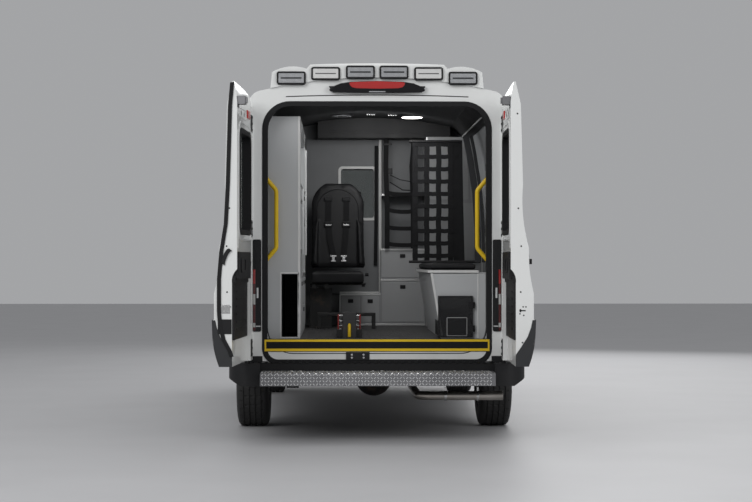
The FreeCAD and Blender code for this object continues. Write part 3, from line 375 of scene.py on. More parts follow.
smoked = glass("smoked_glass", (0.035, 0.05, 0.045), 0.62)
coat(smoked, "side_windows", "rear_glass_left", "rear_glass_right")
coat(glass("cab_glass", (0.10, 0.14, 0.12), 0.28), "windscreen", "cab_glass_left", "cab_glass_right")
rubber = moulded("gasket_rubber", (0.007, 0.007, 0.008), 0.62, 300.0, 0.0002)


def rounded_frame(bm, x0, x1, z0, z1, radius, width, y0, y1, steps=7, foot_radius=None):
    """Adds an upright rounded band: its outer edge on the given sides, its width inwards, Y from the door frame."""
    corners = [bm.verts.new(rear(x, y0, z)) for x, z in ((x0, z0), (x1, z0), (x1, z1), (x0, z1))]
    bm.faces.new(corners)
    for pair, curve in ((corners[:2], foot_radius or radius), (corners[2:], radius)):
        rounded = bmesh.ops.bevel(bm, geom=pair, offset=curve, offset_type="OFFSET", segments=steps, profile=0.5,
                                  affect="VERTICES", material=-1, clamp_overlap=False)
    plate = max((v.link_faces[0] for v in rounded["verts"] if v.link_faces), key=lambda f: f.calc_area())
    bmesh.ops.inset_individual(bm, faces=[plate], thickness=width, use_even_offset=True)
    band = [f for f in {f for v in plate.verts for f in v.link_faces} if f is not plate]
    bmesh.ops.delete(bm, geom=[plate], context="FACES")
    extrude(bm, band, (0, (REAR + y1) - (REAR + y0), 0))


def ribbon(bm, points, width, thick, across=(1, 0, 0)):
    """Flat webbing along a line of points: a cross line carried from point to point, then given its thickness."""
    side = Vector(across).normalized() * width / 2
    edges = []
    for point in points:
        pair = [bm.verts.new(Vector(point) - side), bm.verts.new(Vector(point) + side)]
        edges.append(bm.edges.new(pair))
    flat = [bmesh.ops.bridge_loops(bm, edges=[a, b])["faces"] for a, b in zip(edges, edges[1:])]
    flat = [face for pair in flat for face in pair]
    bmesh.ops.recalc_face_normals(bm, faces=flat)
    bmesh.ops.solidify(bm, geom=flat, thickness=thick)


def run(bm, points, radius, sides=10):
    """A round cord along a line of points, with a ball at each joint."""
    for a, b in zip(points, points[1:]):
        rod(bm, a, b, radius, sides)
        bmesh.ops.create_icosphere(bm, subdivisions=1, radius=radius, matrix=Matrix.Translation(b))


def draw(bm, boxes=(), frames=(), bars=(), pins=(), belts=(), cords=(), plates=(), sign=1.0):
    """Adds boxes, rounded frames, bars, studs along Y, webbing, cords and extruded outlines, all with Y measured
    from the rear door frame."""
    blocks(bm, *boxes, sign=sign)
    for row in frames:
        rounded_frame(bm, *row)
    for start, end, *rest in bars:
        rod(bm, rear(*start), rear(*end), *rest)
    for row in pins:
        studs(bm, *row)
    for points, *rest in belts:
        ribbon(bm, [rear(*point) for point in points], *rest)
    for points, *rest in cords:
        run(bm, [rear(*point) for point in points], *rest)
    for points, move in plates:
        extrude(bm, [bm.faces.new([bm.verts.new(rear(*point)) for point in points])], move)
    return bm


def drawn(name, finish, bevel=0.0, boxes=(), segments=2, sharp=40.0, slot=None, body="body", **shapes):
    """A piece made of such shapes alone."""
    return piece(name, draw(bmesh.new(), boxes, **shapes), finish, bevel, segments, sharp, body)


# ---- Rear doors ----------------------------------------
# Two pressed steel doors, hung on three hinges each. The inner skin carries a tall black moulded trim, the latch
# gear at the free edge and stamped holes; the lower outside is clad in dark plastic. The left door's free edge has
# the long weatherstrip that the two doors close on, a pull strap and the lock's box.
PIN = rear(0.884, -0.050, 0.0)
OPEN = {"left": 93.8, "right": 88.7}
INNER, LOW = -0.012, -0.044      # the shut door's inner face, and where it steps outwards low down
HINGE_Z = (0.6, 1.402, 2.11)
SEAL_LINE = [(-0.043, 2.345), (-0.056, 2.2), (-0.07, 1.7), (-0.083, 1.45), (-0.112, 1.27), (-0.126, 1.1),
             (-0.126, 0.9), (-0.118, 0.8), (-0.097, 0.72), (-0.056, 0.645), (-0.046, 0.612)]
CLADDING_END = [(-0.1695, 0.8425), (-0.15, 0.8425), (-0.14, 0.795), (-0.118, 0.735), (-0.075, 0.668), (-0.0435, 0.622),
                (-0.0435, 0.5475), (-0.1225, 0.5475), (-0.152, 0.64), (-0.1665, 0.757)]


def metal(name, colour, rough, streak=(1.0, 1.0, 1.0), scale=260.0, wear=0.25):
    """Bare or plated metal with drawn streaks along the short axis of its stretch."""
    finish = Finish(name)
    lines = finish.noise(scale, 3.0, 0.6, streak)
    stain = finish.noise(5.0, 4.0)
    finish.put(Base_Color=finish.mix(stain, tint(colour, 1.0 - wear), colour), Metallic=1.0,
               Roughness=rough - 0.08 + lines * 0.12 + stain * 0.08)
    return finish.bump(lines, 0.0002, 0.2)


satin_black = moulded("trim_black", (0.010, 0.010, 0.011), 0.50)
dark_grey = moulded("cladding_grey", (0.030, 0.031, 0.033), 0.62)
bright = metal("plated_steel", (0.78, 0.78, 0.77), 0.22)
brushed = metal("brushed_aluminium", (0.72, 0.72, 0.71), 0.36, (1.0, 1.0, 0.05))
iron_grey = metal("zinc_grey", (0.30, 0.30, 0.31), 0.42)
red_plastic = moulded("red_reflector", (0.50, 0.015, 0.012), 0.18, 1400.0, 0.0006)


def edge_pins(spots, radius, sides, x0=0.0086):
    """Bars across the door's free edge, at (y, z) spots."""
    return [((x0, y, z), (0.012, y, z), radius, sides) for y, z in spots]


def cut_copy(node, *planes):
    """A copy of a CAD piece, cut off and capped on the side that each (point, direction) plane faces."""
    bm = cad_copy(node)
    for point, direction in planes:
        everything = bm.verts[:] + bm.edges[:] + bm.faces[:]
        done = bmesh.ops.bisect_plane(bm, geom=everything, plane_co=point, plane_no=direction, clear_outer=True)
        rim = [e for e in done["geom_cut"] if isinstance(e, bmesh.types.BMEdge)]
        bmesh.ops.holes_fill(bm, edges=rim, sides=0)
    return bm


def cladding(side):
    """Dark plastic over the door's foot: the door's own form, cut off level and grown outwards."""
    outwards = SIDES[side]
    bm = cut_copy("rear_door_" + side, ((0, 0, 0.8425), (0, 0, 1)), ((0, REAR - 0.150, 0), (0, 1, 0)))
    bmesh.ops.delete(bm, geom=[f for f in bm.faces if f.normal.x * outwards < 0.35], context="FACES")
    for vert in bm.verts:
        vert.co.x += 0.0008 * outwards
    bmesh.ops.solidify(bm, geom=bm.faces[:], thickness=-0.0035)
    piece("door_cladding_" + side, bm, dark_grey, 0.001, body="back_door_" + side)


# name, finish, bevel, sides, shapes as they lie on the shut right door, and a slot name that is not used
DOOR_PIECES = [
    # Tall trim board in the recess, its top rounded over on to the upper face, with ribs and a pull cup.
    ("door_trim", satin_black, 0.004, SIDES, dict(
        boxes=[(0.0105, 0.775, LOW - 0.001, LOW + 0.012, 0.715, 1.085),
               (0.0105, 0.745, LOW - 0.001, LOW + 0.022, 1.075, 1.12),
               (0.03, 0.72, INNER - 0.03, INNER + 0.008, 1.1, 1.275),
               *[(0.15, 0.66, LOW + 0.011, LOW + 0.016, 0.775 + 0.048 * i, 0.775 + 0.048 * i + 0.014)
                 for i in range(6)]],
        frames=[(0.16, 0.4, 1.14, 1.24, 0.03, 0.014, INNER + 0.007, INNER + 0.014)]), None),
    # Raised swages round the window and down the free edge, as pressed in the inner skin.
    ("door_stampings", body_paint, 0.002, SIDES, dict(
        boxes=[(x, x + 0.012, INNER - 0.001, INNER + 0.0035, z0, 2.05) for x, z0 in ((0.05, 1.3), (0.85, 0.72))],
        frames=[(0.095, 0.825, 1.345, 2.115, 0.11, 0.012, INNER - 0.001, INNER + 0.004),
                (0.14, 0.5, 2.135, 2.205, 0.03, 0.01, INNER - 0.001, INNER + 0.004)]), None),
    ("window_gasket", rubber, 0.002, SIDES, dict(
        frames=[(0.136, 0.784, 1.386, 2.074, 0.09, 0.034, INNER + 0.001, INNER + 0.006),
                (0.152, 0.768, 1.402, 2.058, 0.078, 0.016, -0.068, INNER + 0.002)]), None),
    ("door_holes", rubber, 0.0, SIDES, dict(
        pins=[(((0.24, 2.17), (0.4, 2.17), (0.066, 1.32), (0.066, 1.95), (0.81, 1.2)), INNER - 0.002, INNER + 0.0006,
               0.016, 24)],
        bars=edge_pins(((-0.075, 1.02), (-0.078, 1.31), (-0.06, 1.55), (-0.055, 2.15), (-0.086, 0.7)), 0.0055, 16)),
     None),
    # Rotary latch on the left door's free edge: a rounded plate, its fork and a bolt.
    ("door_latch", bright, 0.001, ["left"], dict(
        boxes=[(0.007, 0.012, -0.112, -0.056, 0.884, 0.94), (0.004, 0.012, -0.114, -0.05, 0.922, 0.934),
               (0.004, 0.012, -0.108, -0.06, 0.89, 0.9)],
        bars=edge_pins(((-0.084, 0.911),), 0.01, 20, 0.003)), None),
    # The lower lock's cover plate across the free edge, and the black pull strap above the latch.
    ("lock_box", satin_black, 0.002, ["left"], dict(
        boxes=[(0.0045, 0.012, -0.134, -0.046, 0.755, 0.848)],
        belts=[([(0.006, -0.052, 1.288), (0.005, -0.066, 1.282), (0.005, -0.082, 1.258), (0.005, -0.096, 1.222),
                 (0.006, -0.1, 1.196)], 0.026, 0.007, (0.0, 0.8, -0.6))],
        bars=edge_pins(((-0.098, 1.205),), 0.009, 20, 0.002)), None),
    # On the right door's free edge: the slot and screws that the lock shoots into.
    ("lock_keeper", rubber, 0.0, ["right"], dict(
        boxes=[(0.0085, 0.012, -0.106, -0.066, 0.898, 0.906), (0.0085, 0.012, -0.078, -0.068, 0.892, 0.912)],
        bars=edge_pins(((-0.07, 0.882), (-0.09, 0.926), (-0.108, 0.926), (-0.094, 0.872)), 0.005, 12)), None),
    ("weatherstrip", rubber, 0.0, ["left"], dict(
        belts=[([(0.0085, y, z) for y, z in SEAL_LINE], 0.026, 0.006, (0, 1, 0.15))],
        cords=[([(0.0055, y, z) for y, z in SEAL_LINE], 0.0045)]), None),
    ("reflector", red_plastic, 0.002, SIDES, dict(
        boxes=[(0.56, 0.7, INNER - 0.001, INNER + 0.007, 2.16, 2.212)]), None),
    # Leaves bolted to the door's inner face beside each hinge.
    ("hinge_brackets", dark_grey, 0.0015, SIDES, dict(
        boxes=[(0.79, 0.868, INNER - 0.002, INNER + 0.004, z - 0.025, z + 0.09) for z in HINGE_Z],
        pins=[([(0.822, z + dz) for z in HINGE_Z for dz in (-0.01, 0.032, 0.074)], INNER, INNER + 0.01, 0.009, 6)]),
     "body_paint"),
    # The top lock's plated box on the inner face near the free edge, with its bolt.
    ("upper_latch", iron_grey, 0.002, SIDES, dict(
        boxes=[(0.02, 0.098, INNER - 0.002, INNER + 0.05, 2.208, 2.262),
               (0.03, 0.06, INNER + 0.048, INNER + 0.062, 2.216, 2.254),
               (0.012, 0.11, INNER - 0.002, INNER + 0.003, 2.19, 2.224)],
        pins=[(((0.078, 2.235),), INNER + 0.02, INNER + 0.06, 0.01, 20)]), None),
    # The cladding's end, which the free edge shows as a dark crescent under the white pressing.
    ("cladding_end", dark_grey, 0.0, SIDES, dict(
        plates=[([(0.0065, y, z) for y, z in CLADDING_END], (0.005, 0, 0))]), None),
    # Pull handle in a cup on the outer skin.
    ("outer_handle", satin_black, 0.004, ["right"], dict(
        boxes=[(0.055, 0.2, -0.15, -0.138, 1.196, 1.23),
               *[(x, x + 0.02, -0.14, -0.126, 1.196, 1.23) for x in (0.055, 0.18)]],
        frames=[(0.04, 0.215, 1.168, 1.262, 0.018, 0.01, -0.132, -0.1275)]), None)]
for name, finish, bevel, sides, shapes, slot in DOOR_PIECES:
    for side in sides:
        bm = draw(bmesh.new(), **shapes)
        turn = Matrix.Translation(PIN) @ Matrix.Rotation(math.radians(OPEN[side]), 4, "Z") @ Matrix.Translation(-PIN)
        if side == "left":
            turn = Matrix.Diagonal((-1.0, 1.0, 1.0, 1.0)) @ turn
        bmesh.ops.transform(bm, matrix=turn, verts=bm.verts)
        piece("%s_%s" % (name, side), bm, finish, bevel, body="back_door_" + side)
for side in SIDES:
    cladding(side)

# ---- Doorway -------------------------------------------
# The opening's flange carries a hollow rubber seal all round. A yellow-edged black nosing covers the floor's end,
# over a white sill with the doors' striker plate.
yellow = moulded("safety_yellow", (0.78, 0.52, 0.02), 0.42, 600.0, 0.0003)
drawn("doorway_seal", rubber, 0.006, frames=[(-0.782, 0.782, 0.512, 2.304, 0.19, 0.036, -0.0045, 0.002, 10, 0.11)],
      segments=3)
drawn("doorway_trim", satin_black, 0.002, frames=[(-0.7495, 0.7495, 0.585, 2.2865, 0.18, 0.006, -0.002, 0.058, 10)])
drawn("corner_caps", satin_black, 0.003, [(x, x + 0.097, -0.007, 0.002, 0.528, 0.571) for x in (-0.876, 0.779)])
drawn("header_gap", satin_black,
      cords=[([(0.62 * t, 0.0005, 2.3465 - 0.012 * t * t) for t in [i / 10 - 1.0 for i in range(21)]], 0.0035, 8)])
drawn("threshold_edging", yellow, 0.0015, [(-0.765, 0.765, -0.0095, -0.0045, 0.668, 0.6835),
                                           (-0.765, 0.765, -0.0095, -0.0045, 0.604, 0.622),
                                           (-0.765, -0.7535, -0.0095, -0.0045, 0.622, 0.668),
                                           (0.7535, 0.765, -0.0095, -0.0045, 0.622, 0.668)])
drawn("threshold_tread", rubber, 0.0008, [(-0.7535, 0.7535, -0.0075, -0.0045, 0.622, 0.668),
                                          *[(-0.745, 0.745, -0.0095, -0.006, 0.6265 + 0.0068 * i, 0.6295 + 0.0068 * i)
                                            for i in range(6)]], slot="floor_rubber")
drawn("striker_plate", satin_black, 0.003, [(-0.212, -0.052, -0.0095, 0.0, 0.54, 0.598)])
drawn("striker_bolts", bright, 0.001,
      pins=[([(x, z) for x in (-0.172, -0.092) for z in (0.56, 0.58)], -0.002, -0.011, 0.007, 16)])

# ---- Rear lamps ----------------------------------------
# Upright lamp clusters at each corner, and narrow marker strips on the jambs that show with the doors open: ribbed
# covers, red above and below a clear reversing band.
RED, DARK_RED, CLEAR = (0.42, 0.012, 0.010), (0.10, 0.006, 0.006), (0.62, 0.62, 0.60)
TAIL_BANDS = [(0.74, DARK_RED), (0.765, CLEAR), (0.795, DARK_RED), (0.92, CLEAR), (0.99, DARK_RED), (1.06, RED),
              (1.2, DARK_RED), (1.36, DARK_RED)]
pale_plastic = moulded("pale_plastic", (0.62, 0.63, 0.63), 0.4)


def lens(name, bands, rough=0.06, ribs=260.0):
    """Ribbed lamp cover: bands is a list of (height, colour from there up)."""
    finish = Finish(name)
    low, high = bands[0][0], bands[-1][0]
    level = finish.ramp(finish.along("Z"), low, high)
    stops = [((z - low) / max(high - low, 0.001), colour) for z, colour in bands]
    colour = finish.node("ValToRGB", {"stops": stops}, {"Fac": level}, "Color")
    ribbing = finish.wave("Z", ribs / 6.28)
    finish.put(Base_Color=bands[0][1])
    finish.put(Base_Color=finish.mix(ribbing * 0.35, colour, (0.02, 0.02, 0.02)), Roughness=rough + ribbing * 0.08,
               Coat_Weight=1.0, Coat_Roughness=0.03)
    return finish.bump(ribbing, 0.001, 0.5)


dressed("tail_lamps", lens("tail_lens", TAIL_BANDS))
bm, backs = bmesh.new(), bmesh.new()
for sign in (-1, 1):
    rounded_frame(bm, *sorted((sign * 0.787, sign * 0.847)), 0.737, 1.363, 0.012, 0.0055, -0.0065, 0.001, 4)
    blocks(bm, (0.789, 0.826, -0.0095, -0.004, 0.742, 1.358), (0.826, 0.845, -0.008, -0.004, 1.16, 1.358), sign=sign)
    studs(bm, [(sign * 0.798, 0.79 + 0.075 * i) for i in range(8)], -0.0105, -0.008, 0.0045, 12)
    blocks(backs, (0.806, 0.818, -0.0106, -0.009, 0.965, 1.035), (0.792, 0.824, -0.0106, -0.009, 0.77, 0.777),
           sign=sign)
piece("jamb_lamp_bezels", bm, satin_black, 0.001)
piece("jamb_reflectors", backs, pale_plastic, 0.002)

# ---- Roof fairing and warning lamps --------------------
# A white moulded fairing steps up across the roof's rear edge. Six flush lamps sit in it, each a clear cover over
# rows of reflectors in a black rim, and the tapered high brake lamp hangs under them. A clear bar crosses the cab.
dressed("roof_light_fairing", paint("fairing_white", (0.78, 0.79, 0.78), 0.2), 0.004)


def reflectors(name, colour, dark, cell_size, metallic):
    """Clear cover over bright reflector cells."""
    finish = Finish(name)
    cell = (finish.wave("X", 1.0 / cell_size * 0.05 * 6.28, "TRI") * 0.6
            + finish.wave("Z", 1.0 / cell_size * 0.08 * 6.28, "TRI") * 0.4).clamp()
    finish.put(Base_Color=finish.mix(cell, dark, colour), Roughness=0.12 + cell * 0.2, Metallic=metallic,
               Coat_Weight=1.0, Coat_Roughness=0.02)
    return finish.bump(cell, 0.0015, 0.5)


silver_lens = reflectors("silver_reflectors", (0.55, 0.56, 0.58), (0.16, 0.165, 0.17), 0.008, 0.25)
white_lens = reflectors("white_reflectors", (0.82, 0.82, 0.80), (0.45, 0.45, 0.45), 0.006, 0.0)
gloss_black = moulded("gloss_black", (0.008, 0.008, 0.009), 0.16, 200.0, 0.0001)
bezels, strips, covers = bmesh.new(), bmesh.new(), {True: bmesh.new(), False: bmesh.new()}
for x, z in [(-0.584, 2.459), (-0.35, 2.49), (-0.114, 2.5), (0.114, 2.5), (0.35, 2.49), (0.584, 2.459)]:
    pale = abs(x) == 0.35
    rounded_frame(bezels, x - 0.0985, x + 0.0985, z - 0.045, z + 0.045, 0.018, 0.012, -0.031, -0.002, 5)
    blocks(covers[pale], (x - 0.087, x + 0.087, -0.0285, -0.022, z - 0.0335, z + 0.0335))
    height = 0.006 if pale else 0.011
    blocks(strips, (x - 0.07, x + 0.07, -0.03, -0.027, z - height / 2, z + height / 2))
piece("lamp_bezels", bezels, satin_black, 0.003, 3)
piece("lamp_covers_silver", covers[False], silver_lens, 0.004, 3)
piece("lamp_covers_white", covers[True], white_lens, 0.004, 3)
piece("lamp_strips", strips, moulded("lamp_circuit", (0.045, 0.047, 0.05), 0.3), 0.001)
lamps = dressed("warning_lamps", satin_black,
                lining=(glass("lamp_bar_cover", (0.55, 0.57, 0.60), 1.0), lambda normal, centre: centre.y > 0.0))
for vert in lamps.data.vertices:
    if 0.200 < abs(vert.co.x) < 0.335 and vert.co.y < REAR - 0.010 and 2.400 < vert.co.z < 2.443:
        vert.co.z -= 0.036      # the brake lamp's corners taper more than the solid's


def lamp_form(name, finish, outline, y0, y1):
    """A flat form from y0 to y1, whose outline is given as (x, z) from X = 0 outwards and is mirrored."""
    line = outline + [(-x, z) for x, z in reversed(outline) if x > 0.0]
    drawn(name, finish, 0.006 if name.endswith("housing") else 0.004, segments=3,
          plates=[([(x, y0, z) for x, z in line], (0, y1 - y0, 0))])


HOUSING = [(0.0, 2.4405), (0.18, 2.4345), (0.25, 2.423), (0.3, 2.402), (0.323, 2.384), (0.327, 2.376), (0.318, 2.368),
           (0.27, 2.361), (0.16, 2.3575), (0.0, 2.357)]
LENS = [(0.0, 2.4375), (0.15, 2.4335), (0.19, 2.428), (0.186, 2.41), (0.172, 2.396), (0.145, 2.389), (0.0, 2.386)]
lamp_form("brake_lamp_housing", gloss_black, HOUSING, -0.0365, -0.0165)
lamp_form("brake_lamp_lens", lens("brake_lens", [(2.386, (0.50, 0.012, 0.010)), (2.437, (0.55, 0.02, 0.015))]), LENS,
          -0.0395, -0.03)
drawn("brake_lamp_jets", silver_lens, 0.001, [(-0.055, 0.055, -0.0385, -0.0355, 2.362, 2.37)])

# ---- Bumper and step -----------------------------------
# A grained black bumper wraps the corners. The step in its middle is folded from chequer plate, with raised
# lozenges rolled in it, and is bolted through the bumper to the frame.
dressed("rear_bumper", satin_black, 0.006)
dressed("rear_step", metal("chequer_plate", (0.30, 0.30, 0.31), 0.48, scale=90.0, wear=0.35), 0.0015)
# The lozenges are painted much brighter than the plate: partly polish from wear, partly painted highlight on their
# raised tops.
worn_and_highlit_steel = metal("lozenges_wear_and_highlight", (0.86, 0.86, 0.86), 0.24, scale=120.0, wear=0.15)
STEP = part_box("rear_step")
STEP_X, STEP_Y, STEP_Z, STEP_TOP, PITCH = STEP[0].x, STEP[0].y, STEP[0].z, STEP[1].z, 0.0215


def lozenge(bm, spot, turn, up):
    """One raised lozenge, 28 mm by 8 mm and 2.5 mm high, lying on the face that up points out of."""
    lie = up.to_track_quat("Z", "Y").to_matrix().to_4x4()
    shape = Matrix.Translation(spot) @ lie @ Matrix.Rotation(turn, 4, "Z") @ Matrix.Diagonal((1.0, 0.30, 1.0, 1.0))
    bmesh.ops.create_cone(bm, cap_ends=True, segments=8, radius1=0.0150, radius2=0.0100, depth=0.005, matrix=shape)


bm = bmesh.new()
rows = [(Vector((0, STEP_Y, STEP_Z + 0.011 + PITCH * i)), Vector((0, -1, 0)), i) for i in range(4)]
rows += [(Vector((0, STEP_Y + 0.024 + PITCH * i, STEP_TOP)), Vector((0, 0, 1)), i) for i in range(10)]
for start, up, i in rows:
    for j in range(72):
        slant = math.radians(45 if (i + j) % 2 else -45)
        lozenge(bm, start + Vector((STEP_X + 0.015 + PITCH * j, 0, 0)), slant, up)
piece("chequer_lozenges", bm, worn_and_highlit_steel, sharp=20.0)
drawn("step_bolts", bright, 0.001, bars=[((x + dx, -0.06, STEP_TOP - 0.002), (x + dx, -0.06, STEP_TOP + 0.006), 0.01, 6)
                                         for x in (-0.55, 0.0, 0.55) for dx in (-0.03, 0.03)])
drawn("bumper_tread", satin_black, 0.001,
      [(-0.90 + 0.0462 * i, -0.90 + 0.0462 * i + 0.02, -0.04, 0.03, 0.527, 0.5305) for i in range(40)])

# ---- Exhaust -------------------------------------------
# Bright steel pipe, sooted at its end, that crosses behind the right wheel and ends cut square.
finish = Finish("exhaust_steel")
heat = finish.noise(4.0, 3.0)
soot = finish.ramp(finish.along("X"), 0.80, 0.88)
tone = finish.mix(heat, (0.44, 0.40, 0.35), (0.60, 0.58, 0.55))
finish.put(Base_Color=finish.mix(soot * 0.35, tone, (0.10, 0.09, 0.085)), Metallic=1.0, Roughness=0.26 + heat * 0.22)
exhaust_steel = finish.bump(finish.noise(160.0, 3.0), 0.0003, 0.25)
dressed("exhaust", exhaust_steel, 0.001)
TAIL_X, TAIL_Y, TAIL_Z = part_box("exhaust")[1].x, 0.330, 0.278


def pipe(x0, x1, radius, sides):
    return (x0, TAIL_Y, TAIL_Z), (x1, TAIL_Y, TAIL_Z), radius, sides


# A near-black disc fills the pipe's mouth: soot, and painted shade standing in for the dark bore inside.
drawn("tailpipe_bore", moulded("soot", (0.006, 0.006, 0.006), 0.9), slot="exhaust_steel",
      bars=[pipe(TAIL_X - 0.004, TAIL_X + 0.0022, 0.0275, 32)])
drawn("tailpipe_sleeve", exhaust_steel, 0.002, bars=[pipe(0.47, TAIL_X + 0.0016, 0.0315, 48)], slot="exhaust_steel")
drawn("exhaust_clamps", bright, 0.001,
      [(x + 0.003, x + 0.015, TAIL_Y - 0.006, TAIL_Y + 0.006, TAIL_Z + 0.03, TAIL_Z + 0.06) for x in (0.475, 0.7)],
      bars=[pipe(x, x + 0.018, 0.0345, 32) for x in (0.475, 0.7)], slot="exhaust_steel")

# ---- Tyres and wheels ----------------------------------
# Commercial radial tyres with four grooves and cross sipes on steel wheels, under bright pressed covers with
# hand holes and dummy nuts.
tyre_rubber = surface("tyre_rubber", (0.010, 0.010, 0.011), (0.030, 0.029, 0.028), (14.0, 5.0, 0.6), 0.62, 0.2,
                      (500.0, 2.0), 0.0006, 0.4)
chrome = metal("wheel_cover_steel", (0.80, 0.80, 0.79), 0.14, scale=40.0, wear=0.12)
TYRE_R, GROOVES, GROOVE_DEPTH = 0.356, (-0.063, -0.021, 0.021, 0.063), 0.008
HALF_PROFILE = [(0.2, 0.099), (0.212, 0.108), (0.236, 0.117), (0.262, 0.12), (0.292, 0.1185), (0.32, 0.113),
                (0.335, 0.108), (0.346, 0.1005), (0.3525, 0.092), (0.355, 0.08)]
COVER = [(0.0, 0.118), (0.03, 0.117), (0.046, 0.112), (0.056, 0.1), (0.062, 0.082), (0.09, 0.08), (0.112, 0.082),
         (0.126, 0.072), (0.146, 0.06), (0.164, 0.062), (0.178, 0.078), (0.188, 0.098), (0.196, 0.108), (0.2035, 0.112),
         (0.207, 0.11), (0.207, 0.104)]


def turned(points, spot, steps):
    """Spins (radius, x) points about the axle line through spot, and closes the seam."""
    bm = bmesh.new()
    verts = [bm.verts.new((spot.x + x, spot.y, spot.z + r)) for r, x in points]
    edges = [bm.edges.new(pair) for pair in zip(verts, verts[1:])]
    bmesh.ops.spin(bm, geom=verts + edges, cent=spot, axis=(1, 0, 0), angle=math.tau, steps=steps, use_merge=True)
    bmesh.ops.remove_doubles(bm, verts=bm.verts, dist=0.00001)
    return bm


def tyre_mesh(spot):
    floor = TYRE_R - GROOVE_DEPTH
    tread = [point for g in GROOVES
             for point in ((TYRE_R, g - 0.0045), (floor, g - 0.0035), (floor, g + 0.0035), (TYRE_R, g + 0.0045))]
    points = [(r, -x) for r, x in HALF_PROFILE] + tread + [(r, x) for r, x in reversed(HALF_PROFILE)]
    bm = turned(points + [points[0]], spot, 120)
    sipes = []
    for face in bm.faces:
        centre = face.calc_center_median() - spot
        step = int(round(math.degrees(math.atan2(centre.z, centre.y)) / 3.0 - 0.5))
        if (math.hypot(centre.y, centre.z) > 0.3505 and face.normal.x ** 2 < 0.25
                and step % 4 == (0 if abs(centre.x) > 0.07 else 2)):
            sipes.append(face)
    bmesh.ops.inset_individual(bm, faces=sipes, thickness=0.0066, use_even_offset=True)
    for face in sipes:
        outwards = (face.calc_center_median() - spot) * Vector((0, 1, 1))
        bmesh.ops.translate(bm, verts=face.verts, vec=-outwards.normalized() * 0.0040)
    return bm


for wheel in ("front_left", "front_right", "rear_left", "rear_right"):
    tyre, sign = "tyre_" + wheel, SIDES[wheel.split("_")[1]]
    body = NODES[tyre]["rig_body"]
    spot = sum(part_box(tyre), Vector()) / 2
    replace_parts(piece(tyre + "_tread", tyre_mesh(spot), tyre_rubber, sharp=32.0, body=body), tyre)
    piece("wheel_cover_" + wheel, turned([(r, sign * x) for r, x in COVER], spot, 64), chrome, sharp=50.0, body=body)
    nuts, holes = bmesh.new(), bmesh.new()
    for i in range(8):
        a = math.tau * i / 8
        seat = spot + Vector((0, math.cos(a), math.sin(a))) * 0.096
        rod(nuts, seat + Vector((sign * 0.076, 0, 0)), seat + Vector((sign * 0.101, 0, 0)), 0.0125, 6, 0.0105)
        hole = spot + Vector((0, math.cos(a + 0.39), math.sin(a + 0.39))) * 0.152
        rod(holes, hole + Vector((sign * 0.052, 0, 0)), hole + Vector((sign * 0.0625, 0, 0)), 0.017, 24)
    piece("wheel_nuts_" + wheel, nuts, chrome, 0.0015, body=body)
    piece("hand_holes_" + wheel, holes, rubber, body=body)
    coat(bright, "wheel_" + wheel)

# ---- Running gear --------------------------------------
# Frame members, axle, springs and tank under chassis black, with road dust in patches and rust in the worst.


def chassis_black(name, colour, rust):
    finish = Finish(name)
    dirt = finish.ramp(finish.noise(7.0, 6.0, 0.65), 0.55, 0.75, 0.0, rust)
    grime = finish.mix(finish.noise(2.0), (0.13, 0.11, 0.09), (0.17, 0.09, 0.05))
    finish.put(Base_Color=finish.mix(dirt, colour, grime), Roughness=0.55 + dirt * 0.3)
    return finish.bump(finish.noise(120.0, 4.0), 0.0008, 0.4)


under_black = chassis_black("chassis_black", (0.022, 0.022, 0.022), 0.6)
coat(under_black, "chassis_frame", "rear_axle", "bumper_beam", "floor_pan")
coat(chassis_black("cast_iron", (0.09, 0.088, 0.085), 0.9), "knuckle_left", "knuckle_right", "engine_block")
dressed("fuel_tank", moulded("tank_black", (0.018, 0.018, 0.019), 0.6), 0.006)

# ---- Patient room floor --------------------------------
# Black rubber flooring, with rolled ribs along the walkway.
floor_rubber = surface("ribbed_rubber", (0.022, 0.022, 0.023), (0.055, 0.054, 0.053), (5.0, 6.0, 0.6, (1.0, 0.3, 1.0)),
                       0.45, 0.25, (300.0, 2.0), 0.0004, 0.3)
coat(floor_rubber, "floor_covering")
WALK_X, WALK_Y0, WALK_Y1, FLOOR_Z = -0.497, 0.062, 2.135, 0.685
strips = []
for i in range(42):
    x = WALK_X + 0.002 + 0.0198 * i
    under_fastener = -0.292 < x < -0.086
    for y0, y1 in [(WALK_Y0, 0.166), (0.914, WALK_Y1)] if under_fastener else [(WALK_Y0, WALK_Y1)]:
        strips.append((x, x + 0.0095, y0, y1, FLOOR_Z - 0.001, FLOOR_Z + 0.0022))
drawn("floor_ribs", floor_rubber, 0.0012, strips)

# ---- Stretcher fastener --------------------------------
# Cast and pressed steel catch bolted to the floor: red side cheeks, and a yellow guide hook that the stretcher's
# bar rides up, with a black end stop further forward.
dressed("stretcher_fastener", under_black, 0.004)
drawn("fastener_cheeks", paint("red_enamel", (0.42, 0.02, 0.015), 0.1), 0.003,
      [(x, x + 0.01, 0.3, y1, z0, z1) for x in (-0.268, -0.118)
       for y1, z0, z1 in ((0.86, 0.742, 0.8), (0.42, 0.795, 0.845))])
drawn("fastener_bolts", bright, 0.001,
      bars=[((-0.262, 0.345, z), (-0.113, 0.345, z), 0.006, 16) for z in (0.765, 0.8, 0.835)]
      + [((x, y, 0.742), (x, y, 0.752), 0.01, 6) for x in (-0.245, -0.13) for y in (0.275, 0.6, 0.87)])
drawn("fastener_hook", yellow, 0.002, [(x - 0.004, x + 0.004, 0.29, 0.31, 0.78, 0.85) for x in (-0.225, -0.15)],
      cords=[([(-0.1875, 0.172, 0.695), (-0.1875, 0.166, 0.735), (-0.1875, 0.174, 0.778)], 0.011, 16)])
drawn("stretcher_end_stop", under_black, 0.003,
      [(-0.425, 0.03, 1.96, 2.06, 0.7865, 0.812),
       *[(x, x + 0.03, 1.965, 2.055, 0.6865, 0.787) for x in (-0.425, -0.23, 0.0)]],
      pins=[(((-0.33, 0.799), (-0.065, 0.799)), 1.95, 1.962, 0.012, 6)], slot="cast_iron")
